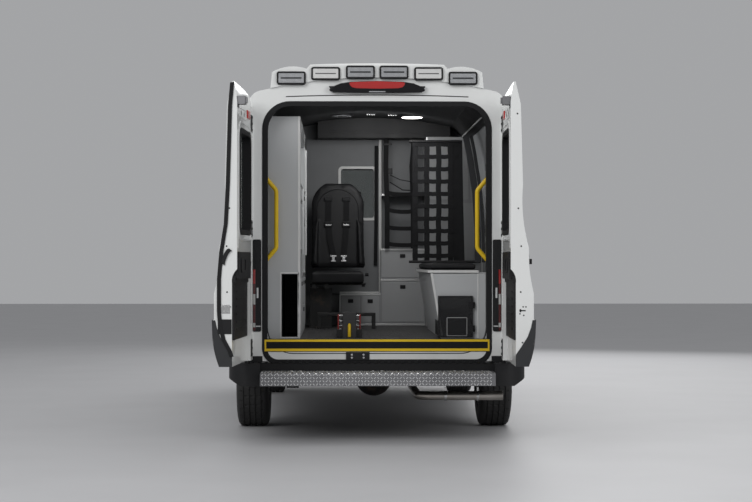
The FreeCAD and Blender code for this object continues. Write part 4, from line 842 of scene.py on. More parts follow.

# ---- Left cabinet --------------------------------------
# A tall run of laminate cupboards with drawn aluminium on its edges, open niches on the aisle side and a bay for a
# gas cylinder at the back, lined in black as painted shade.


def laminate(name, colour):
    return surface(name, tint(colour, 0.94), tint(colour, 1.05), (1.6, 4.0), 0.34, 0.12, (700.0, 2.0), 0.0002, 0.25,
                   Specular_IOR_Level=0.4)


def box_from_rear(node):
    """A CAD piece's low X, high X, low Y, high Y, low Z and high Z, with Y measured from the rear door frame."""
    low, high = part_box(node)
    return low.x, high.x, low.y - REAR, high.y - REAR, low.z, high.z


def bay_shade_liner(name, *sides):
    """Thin black lining of a box-shaped bay, open to the rear: painted shade inside the bay."""
    bm = blocks(bmesh.new(), sides)
    mouth = min(bm.faces, key=lambda f: f.calc_center_median().y)
    bmesh.ops.delete(bm, geom=[mouth], context="FACES_ONLY")
    bmesh.ops.solidify(bm, geom=bm.faces[:], thickness=0.002)
    piece(name, bm, satin_black)


pale_laminate = laminate("pale_laminate", (0.47, 0.48, 0.485))
edging = moulded("anodised_edging", (0.66, 0.66, 0.65), 0.34, 300.0, 0.0002)
dressed("left_cabinet", pale_laminate, 0.002)
_, FACE_X, BACK_Y, FRONT_Y, FOOT_Z, TOP_Z = box_from_rear("left_cabinet")
drawn("cabinet_edge_trim", edging, 0.0012,
      [(FACE_X - 0.014, FACE_X + 0.002, BACK_Y - 0.002, BACK_Y + 0.014, FOOT_Z + 0.003, TOP_Z),
       (FACE_X - 0.002, FACE_X + 0.002, BACK_Y + 0.012, FRONT_Y - 0.002, TOP_Z - 0.014, TOP_Z + 0.002)],
      frames=[(-0.664, -0.533, 0.687, 1.14, 0.006, 0.0095, BACK_Y - 0.002, BACK_Y + 0.001, 3)])
bay_shade_liner("gas_bay_liner", -0.6515, -0.5425, BACK_Y + 0.001, BACK_Y + 0.775, 0.6935, 1.1265)

# y0, y1, z0, z1 of each niche's mouth and each cupboard's front in the aisle face
NICHES = [(1.05, 2.2, 1.13, 1.5), (0.3, 0.9, 1.3, 1.64), (0.3, 2.2, 1.76, 2.12)]
CUPBOARDS = [(0.16, 1.02, 0.72, 1.09), (1.06, 1.62, 0.72, 0.89), (1.06, 1.62, 0.905, 1.09), (1.64, 2.2, 0.72, 1.09),
             (0.94, 2.2, 1.545, 1.725)]
trim, bars = 0.018, []
for y0, y1, z0, z1 in NICHES:
    bars += [(y0 - trim, y1 + trim, z0 - trim, z0), (y0 - trim, y1 + trim, z1, z1 + trim), (y0 - trim, y0, z0, z1),
             (y1, y1 + trim, z0, z1)]
drawn("niche_frames", brushed, 0.001, [(FACE_X - 0.001, FACE_X + 0.003, *bar) for bar in bars])
drawn("cupboard_fronts", laminate("front_laminate", (0.56, 0.57, 0.575)), 0.0015,
      [(FACE_X - 0.001, FACE_X + 0.004, *front) for front in CUPBOARDS])
drawn("cupboard_latches", satin_black, 0.003,
      [(FACE_X + 0.003, FACE_X + 0.01, (y0 + y1) / 2 - 0.035, (y0 + y1) / 2 + 0.035, z1 - 0.048, z1 - 0.018)
       for y0, y1, z0, z1 in CUPBOARDS])
drawn("cabinet_light_strips", pale_plastic, 0.004, [(FACE_X, FACE_X + 0.014, 0.96, 1.0, 1.265, 1.745),
                                                    (FACE_X, FACE_X + 0.014, 2.215, 2.27, 1.265, 2.1)])

# ---- Grab rails ----------------------------------------
# Bent steel tube under a thick yellow coating, with a flange at each end bolted inside the door frame.
coat(yellow, "grab_rails")

# ---- Bench, hatch and lid ------------------------------
# A laminate box along the right wall, its aisle side leaning in, edged in aluminium. A smoked hatch with two black
# hinges closes a cavity at its back, and the padded lid is the seat.
dressed("squad_bench", pale_laminate, 0.002)
BENCH_X, _, BENCH_Y, _, _, BENCH_TOP = box_from_rear("squad_bench")
SIDE_RUN, SIDE_DROP = 0.074, 0.447
bm = bmesh.new()
trim = block(bm, -0.001, 0.014, REAR + BENCH_Y - 0.003, REAR + BENCH_Y + 0.012, -0.452, 0.0)
bmesh.ops.rotate(bm, verts=trim, cent=(0, 0, 0), matrix=Matrix.Rotation(-math.atan2(SIDE_RUN, SIDE_DROP), 3, "Y"))
bmesh.ops.translate(bm, verts=trim, vec=(BENCH_X - 0.0005, 0, BENCH_TOP + 0.001))
piece("bench_edge_trim", blocks(bm, (0.692, 0.7, BENCH_Y - 0.003, BENCH_Y + 0.001, 0.688, 1.128)), edging, 0.001)
LX0, LX1, LY0, LY1, LZ0, LZ1 = box_from_rear("bench_lid")
drawn("lid_edge_trim", edging, 0.001, [(LX0 - 0.003, LX1 + 0.002, LY0 - 0.003, LY0 + 0.004, LZ0, LZ0 + 0.018),
                                       (LX0 - 0.004, LX0 + 0.001, LY0, LY1, LZ0, LZ0 + 0.018)], body="bench_lid")
# The cavity behind the hatch is lined in black: painted shade inside it.
bay_shade_liner("bench_bay_liner", 0.4265, 0.6535, BENCH_Y + 0.001, 0.618, 0.6995, 0.9725)
HATCH_Y = box_from_rear("bench_hatch")[2]
dressed("bench_hatch", glass("smoked_hatch", (0.012, 0.012, 0.013), 0.55), 0.002)
drawn("hatch_frame", satin_black, 0.001,
      [(0.63, 0.662, HATCH_Y - 0.006, HATCH_Y + 0.001, z - 0.004, z + 0.04) for z in (0.735, 0.895)],
      frames=[(0.421, 0.659, 0.693, 0.977, 0.008, 0.01, HATCH_Y - 0.003, HATCH_Y + 0.003, 4)],
      bars=[((0.668, 0.106, z - 0.004), (0.668, 0.106, z + 0.04), 0.0062, 16) for z in (0.735, 0.895)],
      body="bench_hatch")
drawn("hatch_inner_frame", brushed, 0.0006, body="bench_hatch",
      frames=[(0.48, 0.62, 0.702, 0.83, 0.006, 0.0035, HATCH_Y - 0.0025, HATCH_Y + 0.001, 3)])
drawn("bay_bottles", dark_grey, pins=[(((0.452, 0.93),), 0.2, 0.235, 0.018, 20)],
      bars=[((0.43, 0.26, z0), (0.65, 0.21, z1), 0.02, 16) for z0, z1 in ((0.76, 0.86), (0.88, 0.95))])

# ---- Cushions ------------------------------------------
# Foam under black vinyl: each pad is blown up a little from its block, so that its faces crown and its edges pull in.
CLOTH_STEPS = 20


def upholstery(name, low, high, rough=0.42):
    finish = Finish(name)
    pores = finish.noise(900.0, 3.0)
    rub = finish.noise(5.0, 5.0, 0.6)
    finish.put(Base_Color=finish.mix(rub, low, high), Roughness=rough + rub * 0.16, Specular_IOR_Level=0.28)
    return finish.bump(pores + rub * 0.5, 0.0008, 0.5)


vinyl = upholstery("black_vinyl", (0.006, 0.006, 0.007), (0.014, 0.014, 0.015))


def applied(made):
    """Puts the result of a piece's modifiers into its mesh."""
    graph = bpy.context.evaluated_depsgraph_get()
    shape = bpy.data.meshes.new_from_object(made.evaluated_get(graph))
    made.modifiers.clear()
    made.data = shape


def pad(name, bm, cap, finish=vinyl, voxel=0.008, body="body"):
    """Blows a closed shape up like stuffed upholstery: fine cells, then cloth under pressure, its travel capped."""
    made = piece(name, bm, finish, sharp=180.0, body=body)
    remesh = made.modifiers.new("cells", "REMESH")
    remesh.mode, remesh.voxel_size, remesh.use_smooth_shade = "VOXEL", voxel, True
    applied(made)
    start = [v.co.copy() for v in made.data.vertices]
    cloth = made.modifiers.new("air", "CLOTH")
    cloth.settings.use_pressure = True
    cloth.settings.uniform_pressure_force = 4.0
    cloth.settings.effector_weights.gravity = 0.0
    cloth.point_cache.frame_start, cloth.point_cache.frame_end = 1, CLOTH_STEPS
    for step in range(1, CLOTH_STEPS + 1):
        bpy.context.scene.frame_set(step)
    applied(made)
    bpy.context.scene.frame_set(1)
    for vert, before in zip(made.data.vertices, start):
        travel = vert.co - before
        if travel.length > cap:
            vert.co = before + travel.normalized() * cap
    smooth = made.modifiers.new("smooth", "SMOOTH")
    smooth.factor, smooth.iterations = 0.5, 4
    applied(made)
    fine = made.modifiers.new("fine", "SUBSURF")
    fine.levels = fine.render_levels = 1
    return made


cushion = blocks(bmesh.new(), (LX0 + 0.008, LX1 - 0.01, LY0 + 0.012, LY1 - 0.01, LZ0 + 0.026, LZ1 - 0.01))
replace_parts(pad("bench_cushion", cushion, 0.012, body="bench_lid"), "bench_lid")
drawn("bench_lid_board", satin_black, 0.003, [(LX0 + 0.001, LX1 - 0.001, LY0 + 0.001, LY1 - 0.001, LZ0, LZ0 + 0.022)],
      slot="seat_cover", body="bench_lid")

# ---- Attendant seat ------------------------------------
# A rear-facing seat on a floor pedestal: a tall arched back with side bolsters and a folding cushion, in black vinyl
# over foam, with a shoulder harness of flat webbing that ends in two plated tongues.
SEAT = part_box("attendant_seat")
SEAT_X, SEAT_TOP, BACK_Z, CUSHION_Z = (SEAT[0].x + SEAT[1].x) / 2, SEAT[1].z, 1.150, 1.038
UP, DOWN = (0, 0, 1), (0, 0, -1)


def pulled_in(bm, amount):
    """Moves a shape's surface inwards, to leave room for the stuffing to swell."""
    bmesh.ops.recalc_face_normals(bm, faces=bm.faces)
    for vert in bm.verts:
        vert.co -= vert.normal * amount
    return bm


def back_face(z):
    """Where the front face of the seat's leaning back stands, at a height."""
    return 2.538 + 0.062 * (z - 1.100) / 0.814


def webbing(name, colour, scale=900.0):
    """Woven belt: ribs along the weave, with fine cross threads."""
    finish = Finish(name)
    warp = finish.wave("DIAGONAL", scale / 6.28)
    fuzz = finish.noise(600.0, 3.0)
    finish.put(Base_Color=finish.mix(warp * 0.6 + fuzz * 0.4, tint(colour, 0.55), tint(colour, 1.3)),
               Roughness=0.72 + fuzz * 0.15, Specular_IOR_Level=0.2)
    return finish.bump(warp * 0.7 + fuzz * 0.3, 0.0006, 0.6)


back = cut_copy("attendant_seat", ((0, 0, BACK_Z + 0.001), DOWN))
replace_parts(pad("attendant_back", pulled_in(back, 0.004), 0.011), "attendant_seat")
pad("attendant_cushion", blocks(bmesh.new(), (SEAT_X - 0.217, SEAT_X + 0.217, 2.18, 2.565, 1.042, 1.126)), 0.013)
piece("attendant_frame", cut_copy("attendant_seat", ((0, 0, CUSHION_Z + 0.0005), UP)), under_black, 0.002, sharp=28.0)
black_webbing = webbing("black_webbing", (0.012, 0.012, 0.013))
ARCH_HALF, ARCH_TOP, ARCH_STEPS = 0.168, SEAT_TOP - 0.062, 14
spring = ARCH_TOP - ARCH_HALF * 0.95
arch = [(-ARCH_HALF * math.cos(a), ARCH_TOP - ARCH_HALF * 0.95 * (1 - math.sin(a)))
        for a in [math.pi * i / ARCH_STEPS for i in range(1, ARCH_STEPS)]]
arch = [(-ARCH_HALF, 1.185), (-ARCH_HALF, spring)] + arch + [(ARCH_HALF, spring), (ARCH_HALF, 1.185)]
drawn("attendant_piping", vinyl, cords=[([(SEAT_X + x, back_face(z) - 0.0085, z) for x, z in arch], 0.004, 8)])
straps, buckles, guides = bmesh.new(), bmesh.new(), bmesh.new()
for x, foot in ((-0.077, -0.036), (0.069, 0.048)):
    points = [(x, 1.735), (x, 1.7), (x, 1.62), (x, 1.52), (x * 0.7 + foot * 0.3, 1.4), (foot, 1.262)]
    ribbon(straps, [rear(SEAT_X + u, back_face(z) - 0.015 - 0.01 * (z < 1.5), z) for u, z in points], 0.046, 0.0024)
    slide, tongue = back_face(1.5), back_face(1.24) - 0.03
    for z0, z1, deep in ((1.706, 1.738, 0.022), (1.494, 1.54, 0.024)):
        near = back_face(z0) - deep
        blocks(guides, (SEAT_X + x - 0.032, SEAT_X + x + 0.032, near, near + 0.016, z0, z1))
    blocks(buckles, (SEAT_X + x - 0.024, SEAT_X + x + 0.024, slide - 0.0275, slide - 0.022, 1.504, 1.516),
           *[(SEAT_X + foot - half, SEAT_X + foot + half, tongue - 0.002, tongue + 0.002, z0, z1)
             for half, z0, z1 in ((0.025, 1.25, 1.266), (0.012, 1.222, 1.252), (0.02, 1.212, 1.224))])
piece("harness_straps", straps, black_webbing, sharp=60.0)
piece("harness_guides", guides, satin_black, 0.005, 3)
piece("harness_buckle", buckles, bright, 0.004, 3)
drawn("recline_knob", satin_black, 0.003,
      bars=[((SEAT_X + 0.221, 2.54, 1.108), (SEAT_X + 0.25, 2.54, 1.108), 0.014, 24)])

# ---- Partition -----------------------------------------
# A board wall between the cab and the patient room, with an aluminium-framed glass hatch behind the seat, a pale
# edge trim down its right side and a dark header box at the ceiling.
HEADER_Z, BOARD_Y = 2.230, 2.964
_, _, HEADER_Y, WALL_Y, _, _ = box_from_rear("partition")
PX0, PX1, PZ0, PZ1 = -0.247, 0.047, 1.570, 1.995      # the hatch's opening


def header(normal, centre):
    return centre.z > HEADER_Z - 0.005 and centre.y < REAR + WALL_Y - 0.05


dressed("partition", moulded("partition_board", (0.17, 0.175, 0.18), 0.5, 420.0, 0.0003), 0.002,
        lining=(satin_black, header))
drawn("partition_trim", edging, 0.0015, [(0.078, 0.1, BOARD_Y - 0.01, BOARD_Y + 0.001, 0.948, HEADER_Z),
                                         (-0.25, 0.078, BOARD_Y - 0.008, BOARD_Y + 0.001, 0.95, 0.962)],
      frames=[(PX0 - grow, PX1 + grow, PZ0 - grow, PZ1 + grow, radius, width, BOARD_Y - near, BOARD_Y + far)
              for grow, radius, width, near, far in ((0.014, 0.036, 0.022, 0.005, 0.002),
                                                     (0.001, 0.03, 0.01, 0.001, 0.074))])
drawn("partition_pane", smoked, 0.001,
      [(PX0 + 0.006, PX1 - 0.006, BOARD_Y + 0.03, BOARD_Y + 0.035, PZ0 + 0.006, PZ1 - 0.006)], slot="window_glass")
drawn("partition_fittings", satin_black, 0.001,
      [(-0.11, -0.07, BOARD_Y + 0.02, BOARD_Y + 0.03, 1.7, 1.8),
       (PX0 + 0.004, PX1 - 0.004, BOARD_Y + 0.026, BOARD_Y + 0.04, PZ1 - 0.016, PZ1 - 0.004),
       *[(-0.33 + 0.095 * i, -0.26 + 0.095 * i, HEADER_Y - 0.003, HEADER_Y + 0.002, z, z + 0.006)
         for i in range(9) for z in (2.262, 2.282)]])
drawn("partition_belt", black_webbing, sharp=60.0,
      belts=[([(x, BOARD_Y - gap, z) for x, gap, z in ((0.058, 0.02, 2.18), (0.056, 0.024, 2.0), (0.055, 0.016, 1.5),
                                                       (0.05, 0.012, 1.18))], 0.03, 0.002)])

# ---- Front cabinet -------------------------------------
# Laminate cupboards in steps against the partition, with drawn aluminium on each shelf's edge and small black locks.
SHELVES = [(-0.25, 0.088, 2.8, 0.948), (0.088, 0.455, 2.8, 1.066), (0.088, 0.455, 2.83, 1.32),
           (0.1, 0.455, 2.85, 1.774), (-0.25, 0.455, 2.8, 0.699)]
DOORS = [(-0.232, -0.085, 2.8, 0.715, 0.925), (-0.07, 0.076, 2.8, 0.715, 0.925), (0.1, 0.445, 2.8, 0.715, 1.042),
         (0.1, 0.445, 2.83, 1.084, 1.298), (0.48, 0.895, 2.56, 0.715, 1.18), (0.48, 0.845, 2.56, 1.21, 1.69),
         (0.48, 0.8, 2.56, 1.72, 2.2)]
# The carcass and the doors are darker copies of the pale laminate: painted shade deep in the load space.
dressed("front_cabinet", laminate("painted_shade_laminate", (0.30, 0.305, 0.31)), 0.002)
STACK_Y = box_from_rear("front_cabinet")[2]
drawn("front_cabinet_edges", brushed, 0.001,
      [(-0.25, -0.243, 2.797, 2.803, 0.69, 0.948),
       *[(x0, x1, y - 0.003, y + 0.004, z - 0.014, z + 0.001) for x0, x1, y, z in SHELVES],
       *[(x, x + 0.012, STACK_Y - 0.003, STACK_Y + 0.006, 0.69, top) for x, top in ((0.4545, 2.228), (0.905, 1.3))]])
drawn("front_cabinet_fronts", laminate("painted_shade_front_laminate", (0.36, 0.365, 0.37)), 0.0015,
      [(x0, x1, y - 0.004, y + 0.001, z0, z1) for x0, x1, y, z0, z1 in DOORS])
drawn("front_cabinet_locks", satin_black, 0.003,
      [((x0 + x1) / 2 - 0.022, (x0 + x1) / 2 + 0.022, y - 0.011, y - 0.003, z1 - 0.052, z1 - 0.022)
       for x0, x1, y, z0, z1 in DOORS])

# ---- Cargo nets ----------------------------------------
# Black belt webbing: a mesh whose straps pass over and under each other between two bars, with sewn crossings, and a
# ladder of slack rungs with a tensioning buckle and thin elastic cords above it.
NET_Y, LADDER_Y, OVER, BELT = 2.1975, 2.7915, 0.0035, 0.0018
COLUMNS = (0.35, 0.443, 0.537, 0.632)
ROWS = [1.262 + 0.0985 * i for i in range(10)]
net, stitches, bars = bmesh.new(), bmesh.new(), bmesh.new()
for i, x in enumerate(COLUMNS):
    line = [rear(x, NET_Y, 1.206)]
    for j, z in enumerate(ROWS):
        line += [rear(x + 0.0015 * math.sin(3.0 * j + i), NET_Y + (OVER if (i + j) % 2 else -OVER), z),
                 rear(x + 0.003 * math.sin(1.7 * j + i), NET_Y, z + 0.049)]
    ribbon(net, line[:-1] + [rear(x, NET_Y, 2.176)], 0.042, BELT)
for j, z in enumerate(ROWS):
    line = [rear(0.328, NET_Y, z)]
    for i, x in enumerate(COLUMNS):
        line += [rear(x, NET_Y + (-OVER if (i + j) % 2 else OVER), z + 0.002 * math.sin(2.3 * i + j)),
                 rear(x + 0.046, NET_Y, z - 0.004)]
        rounded_frame(stitches, x - 0.015, x + 0.015, z - 0.015, z + 0.015, 0.002, 0.0012, NET_Y - 0.0068,
                      NET_Y - 0.0056, 1)
    ribbon(net, line + [rear(0.7, NET_Y + 0.004, z + 0.008)], 0.034, BELT, UP)
ribbon(net, [rear(0.7, NET_Y + 0.004, 1.206), rear(0.69, NET_Y + 0.002, 1.6), rear(0.68, NET_Y + 0.004, 2.176)],
       0.09, BELT)
for x1, z in ((0.87, 1.212), (0.725, 2.17)):
    rod(bars, rear(0.3, NET_Y, z), rear(x1, NET_Y, z), 0.0105, 20)
for x0, x1 in ((0.137, 0.143), (0.367, 0.358)):
    line = [(x0, 0.0, 2.226), (x1 - 0.012, 0.004, 2.0), (x1, 0.0, 1.7), (x1, 0.0, 1.321)]
    ribbon(net, [rear(x, LADDER_Y - out, z) for x, out, z in line], 0.04, BELT)
for i, z in enumerate((1.78, 1.64, 1.495, 1.36)):
    sag = 0.012 + 0.004 * math.sin(2.0 * i)
    line = [(0.128, 0.003, z + 0.006), (0.195, 0.005, z - sag * 0.6), (0.255, 0.006, z - sag), (0.315, 0.005, z - sag),
            (0.376, 0.003, z - 0.006)]
    ribbon(net, [rear(x, LADDER_Y - out, w) for x, out, w in line], 0.034, BELT, (0.05, 0, 1))
for middle, ends, radius in (((0.25, 1.89), (1.93, 1.87), 0.0035), ((0.27, 1.805), (1.87, 1.8), 0.0045)):
    line = [(0.165, 0.006, ends[0]), (middle[0], 0.007, middle[1]), (0.36, 0.006, ends[1])]
    run(net, [rear(x, LADDER_Y - out, z) for x, out, z in line], radius, 8)
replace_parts(piece("net_webbing", net, black_webbing, sharp=60.0), "cargo_nets")
piece("net_stitching", stitches, satin_black)
blocks(bars, (0.15, 0.186, LADDER_Y - 0.014, LADDER_Y - 0.002, 1.935, 1.985),
       (0.112, 0.182, LADDER_Y - 0.01, LADDER_Y + 0.004, 2.176, 2.19))
piece("net_bars", bars, satin_black, 0.002)

# ---- Ceiling -------------------------------------------
# Two round flush lamps, one of them lit, two small louvred outlets between them, and a padded duct along the right
# corner with a pale edge, above the grey posts of the side door.
lit = Finish("lit_cover")
LIT_COLOUR = (1.0, 0.96, 0.90)
lit.put(Base_Color=LIT_COLOUR, Emission_Color=lit.mix(lit.noise(60.0, 1.0), tint(LIT_COLOUR, 0.85), LIT_COLOUR),
        Emission_Strength=5.0, Roughness=0.3)
LAMP_Y, OUTLETS = 2.250, (-0.003, 0.169)


def ceiling_z(x):
    return 2.395 - 0.170 * x * x


def disc(bm, x, top, foot, radius, foot_radius):
    """A flat cone hanging at the lamps' place along the ceiling, from top down to foot."""
    rod(bm, rear(x, LAMP_Y, top), rear(x, LAMP_Y, foot), radius, 48, foot_radius)
    return bm


rings = bmesh.new()
for x, name, finish in ((-0.235, "ceiling_lamp_off", silver_lens), (0.327, "ceiling_lamp_lit", lit.material)):
    z = ceiling_z(x)
    disc(rings, x, z + 0.006, z - 0.012, 0.102, 0.094)
    piece(name, disc(bmesh.new(), x, z - 0.008, z - 0.018, 0.088, 0.078), finish, 0.003)
blocks(rings, *[(x - 0.04, x + 0.04, LAMP_Y - 0.04, LAMP_Y + 0.04, ceiling_z(x) - 0.01, ceiling_z(x) + 0.006)
                for x in OUTLETS])
piece("ceiling_rings", rings, satin_black, 0.003)
drawn("ceiling_outlets", bright, 0.001,
      [(x - 0.033 + 0.019 * i, x - 0.024 + 0.019 * i, LAMP_Y - 0.036, LAMP_Y + 0.036, ceiling_z(x) - 0.014,
        ceiling_z(x) - 0.008) for x in OUTLETS for i in range(4)])
DUCT = ((0.748, 2.232), (0.8, 2.215), (0.842, 2.215), (0.77, 2.33), (0.64, 2.336))
drawn("corner_duct", satin_black, 0.012, segments=3, plates=[([(x, 0.42, z) for x, z in DUCT], (0, 2.10, 0))])
drawn("corner_duct_edge", pale_plastic, cords=[([(0.746, 0.44, 2.229), (0.746, 2.5, 2.229)], 0.005)])
drawn("side_door_posts", dark_grey, 0.003, sharp=50.0, slot="grey_plastic",
      belts=[([(top, y, 2.2), (top + 0.03, y, 2.05), (low - 0.022, y, 1.75), (low - 0.004, y, 1.45), (low, y, 1.206)],
              width, 0.012) for top, low, y, width in ((0.745, 0.842, 2.06, 0.05), (0.775, 0.872, 1.9, 0.026))])

# ---- Cab -----------------------------------------------
# Two cloth seats on covered bases, a grained dashboard with vents, a dark screen and an instrument hood, a
# leather-rimmed wheel with its stalks, three pedals, a gear lever and lap belts with their buckles.
seat_cloth = upholstery("cab_seat_cloth", (0.022, 0.023, 0.026), (0.048, 0.050, 0.055), 0.72)
cab_plastic = moulded("cab_plastic", (0.030, 0.031, 0.033), 0.55, 600.0)
SEAT_Y, CAB_FLOOR, BACK_TOP, REST_FOOT = 3.830, 0.671, 1.5585, 1.5615
piece("cab_seat_bases", cut_copy("cab_seats", ((0, 0, CAB_FLOOR + 0.345), UP)), cab_plastic, 0.008, 3)
posts, levers = bmesh.new(), bmesh.new()
for side, sign in SIDES.items():
    x, other = sign * 0.40, ((0, 0, 0), (-sign, 0, 0))
    bm = blocks(bmesh.new(), (x - 0.238, x + 0.238, SEAT_Y - 0.236, SEAT_Y + 0.246, 1.014, 1.112))
    cushion = pad("cab_cushion_" + side, bm, 0.013, seat_cloth, 0.015)
    back = cut_copy("cab_seats", other, ((0, 0, 1.124), DOWN), ((0, 0, BACK_TOP), UP))
    rest = cut_copy("cab_seats", other, ((0, 0, REST_FOOT), DOWN))
    bmesh.ops.delete(rest, geom=[v for v in rest.verts if v.co.z < REST_FOOT + 0.003], context="VERTS")
    bmesh.ops.holes_fill(rest, edges=rest.edges[:], sides=0)
    pad("cab_backrest_" + side, pulled_in(back, 0.005), 0.012, seat_cloth, 0.015)
    pad("cab_head_rest_" + side, pulled_in(rest, 0.004), 0.008, seat_cloth, 0.012)
    for dx in (-0.06, 0.06):
        rod(posts, rear(x + dx, SEAT_Y - 0.252, 1.5), rear(x + dx, SEAT_Y - 0.262, 1.6), 0.008, 16)
    blocks(levers, (0.4 - 0.282, 0.4 - 0.252, SEAT_Y - 0.16, SEAT_Y - 0.12, 1.04, 1.165),
           (0.4 + 0.251, 0.4 + 0.268, SEAT_Y - 0.225, SEAT_Y + 0.12, 1.0, 1.055), sign=sign)
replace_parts(cushion, "cab_seats")
piece("cab_head_rest_posts", posts, bright)
piece("cab_seat_trims", levers, satin_black, 0.005, 3)
SKINS = {}


def onto(node, origin, direction):
    """Where a line from the origin meets a CAD piece, and which way the surface faces there."""
    if node not in SKINS:
        bm = bmesh.new()
        bm.from_mesh(NODES[node].data)
        SKINS[node] = BVHTree.FromBMesh(bm)
        bm.free()
    return SKINS[node].ray_cast(Vector(origin), Vector(direction))[:2]


def plates_on(bm, node, direction, *rows):
    """Flat plates lying against a CAD piece where lines meet it: origin, wide, high and how far each stands proud."""
    for origin, wide, high, proud in rows:
        place, normal = onto(node, origin, direction)
        lie = normal.to_track_quat("Z", "Y").to_matrix().to_4x4()
        size = Matrix.Diagonal((wide, high, proud + 0.002, 1.0))
        spot = Matrix.Translation(place + normal * (proud / 2 - 0.001))
        bmesh.ops.create_cube(bm, size=1.0, matrix=spot @ lie @ size)


FORWARD, FACIA_Y = (0, 1, 0), 4.0
dressed("dashboard", cab_plastic, 0.012)
frames, slats, screens = bmesh.new(), bmesh.new(), bmesh.new()
VENTS = (-0.79, -0.125, 0.125, 0.79)
plates_on(frames, "dashboard", FORWARD, *[(rear(x, FACIA_Y, 1.105), 0.15, 0.078, 0.01) for x in VENTS],
          *[(rear(-0.09 + 0.06 * i, FACIA_Y, 0.915), 0.046, 0.03, 0.012) for i in range(4)],
          (rear(0.48, FACIA_Y, 1.0), 0.38, 0.17, 0.005))
plates_on(slats, "dashboard", FORWARD, (rear(0.48, FACIA_Y, 1.06), 0.1, 0.018, 0.014),
          *[(rear(x, FACIA_Y, 1.079 + 0.013 * i), 0.132, 0.005, 0.015) for x in VENTS for i in range(5)])
plates_on(screens, "dashboard", FORWARD, (rear(0.0, FACIA_Y, 1.0), 0.215, 0.105, 0.012))
for x in (-0.09, 0.0, 0.09):
    centre, _ = onto("dashboard", rear(x, FACIA_Y, 0.86), FORWARD)
    rod(slats, centre + Vector((0, 0.004, 0)), centre - Vector((0, 0.022, 0)), 0.022, 28, 0.019)
blocks(frames, (-0.555, -0.245, 4.53, 4.69, 1.185, 1.262))
blocks(screens, (-0.535, -0.265, 4.5275, 4.535, 1.196, 1.252))
piece("dashboard_frames", frames, satin_black, 0.004, 3)
piece("dashboard_slats", slats, cab_plastic, 0.001)
piece("dashboard_screens", screens, glass("screen_black", (0.008, 0.009, 0.010), 1.0), 0.002)
dressed("steering_wheel", upholstery("wheel_leather", (0.010, 0.010, 0.011), (0.026, 0.026, 0.028), 0.5), 0.004, 50.0)

bm = bmesh.new()
HUB, TILT = rear(-0.400, 4.390, 1.130), math.radians(34.0)
root = HUB - Vector((0, -math.cos(TILT), math.sin(TILT))) * 0.045
for sign in (-1, 1):      # stalks
    rod(bm, root + Vector((sign * 0.04, 0, 0)), root + Vector((sign * 0.15, 0.01, 0.018)), 0.007, 14)
    rod(bm, root + Vector((sign * 0.12, 0.008, 0.014)), root + Vector((sign * 0.165, 0.012, 0.02)), 0.011, 14, 0.008)
rod(bm, rear(-0.14, 4.615, 0.96), rear(-0.14, 4.53, 1.035), 0.009, 16)      # gear lever, with its knob and gaiter
bmesh.ops.create_uvsphere(bm, u_segments=24, v_segments=14, radius=0.025,
                          matrix=Matrix.Translation(rear(-0.14, 4.522, 1.042)) @ Matrix.Diagonal((1.0, 0.9, 1.2, 1.0)))
bmesh.ops.create_cone(bm, cap_ends=True, segments=28, radius1=0.046, radius2=0.014, depth=0.040,
                      matrix=Matrix.Translation(rear(-0.14, 4.602, 0.972)) @ Matrix.Rotation(math.radians(50), 4, "X"))
for x, half in ((-0.51, 0.04), (-0.405, 0.046), (-0.305, 0.03)):      # pedals
    blocks(bm, (x - half, x + half, 4.652, 4.664, 0.738, 0.808), (x - 0.008, x + 0.008, 4.66, 4.7, 0.79, 0.83))
piece("cab_controls", bm, satin_black, 0.003)
belts, clips = bmesh.new(), bmesh.new()
LAP = [(0.64, 4.02, 1.0), (0.56, 4.0, 1.122), (0.42, 4.0, 1.136), (0.2, 3.99, 1.134), (0.14, 3.97, 1.09)]
for sign in (-1, 1):
    ribbon(belts, [rear(sign * x, y, z) for x, y, z in LAP], 0.046, 0.0022, (0, 1, 0))
    blocks(clips, (0.128, 0.152, 3.945, 3.995, 1.04, 1.098), sign=sign)
piece("cab_lap_belts", belts, black_webbing, sharp=60.0)
piece("cab_belt_clips", clips, red_plastic, 0.004)

# ---- Front end -----------------------------------------
# A dark slatted grille with plated edges over the radiator, deep clear headlamps with bright bowls, a grained
# plastic bumper with fog lamps and an intake, the windscreen's gasket, wipers, and the mirrors' glass and rims.
BACKWARD, AHEAD = (0, -1, 0), 7.0      # lines that meet the nose start ahead of it
dressed("grille", satin_black)
dressed("front_bumper", dark_grey, 0.006)
drawn("radiator", metal("radiator_fins", (0.16, 0.16, 0.17), 0.6), 0.0,
      [(-0.52, 0.52, 5.59, 5.61, 0.672, 0.985),
       *[(-0.516 + 0.018 * i, -0.51 + 0.018 * i, 5.608, 5.614, 0.676, 0.98) for i in range(58)]], slot="chassis_paint")


def on_nose(node, x, z, proud=0.0):
    """The point of a front piece at this X and Z, standing proud of its skin."""
    spot, normal = onto(node, rear(x, AHEAD, z), BACKWARD)
    return None if spot is None else spot + normal * proud


def across_nose(node, x0, x1, z, steps, proud=0.0):
    """Points over the turned front of a piece, from side to side at one height."""
    points = [on_nose(node, x0 + (x1 - x0) * i / steps, z, proud) for i in range(steps + 1)]
    return [point for point in points if point is not None]


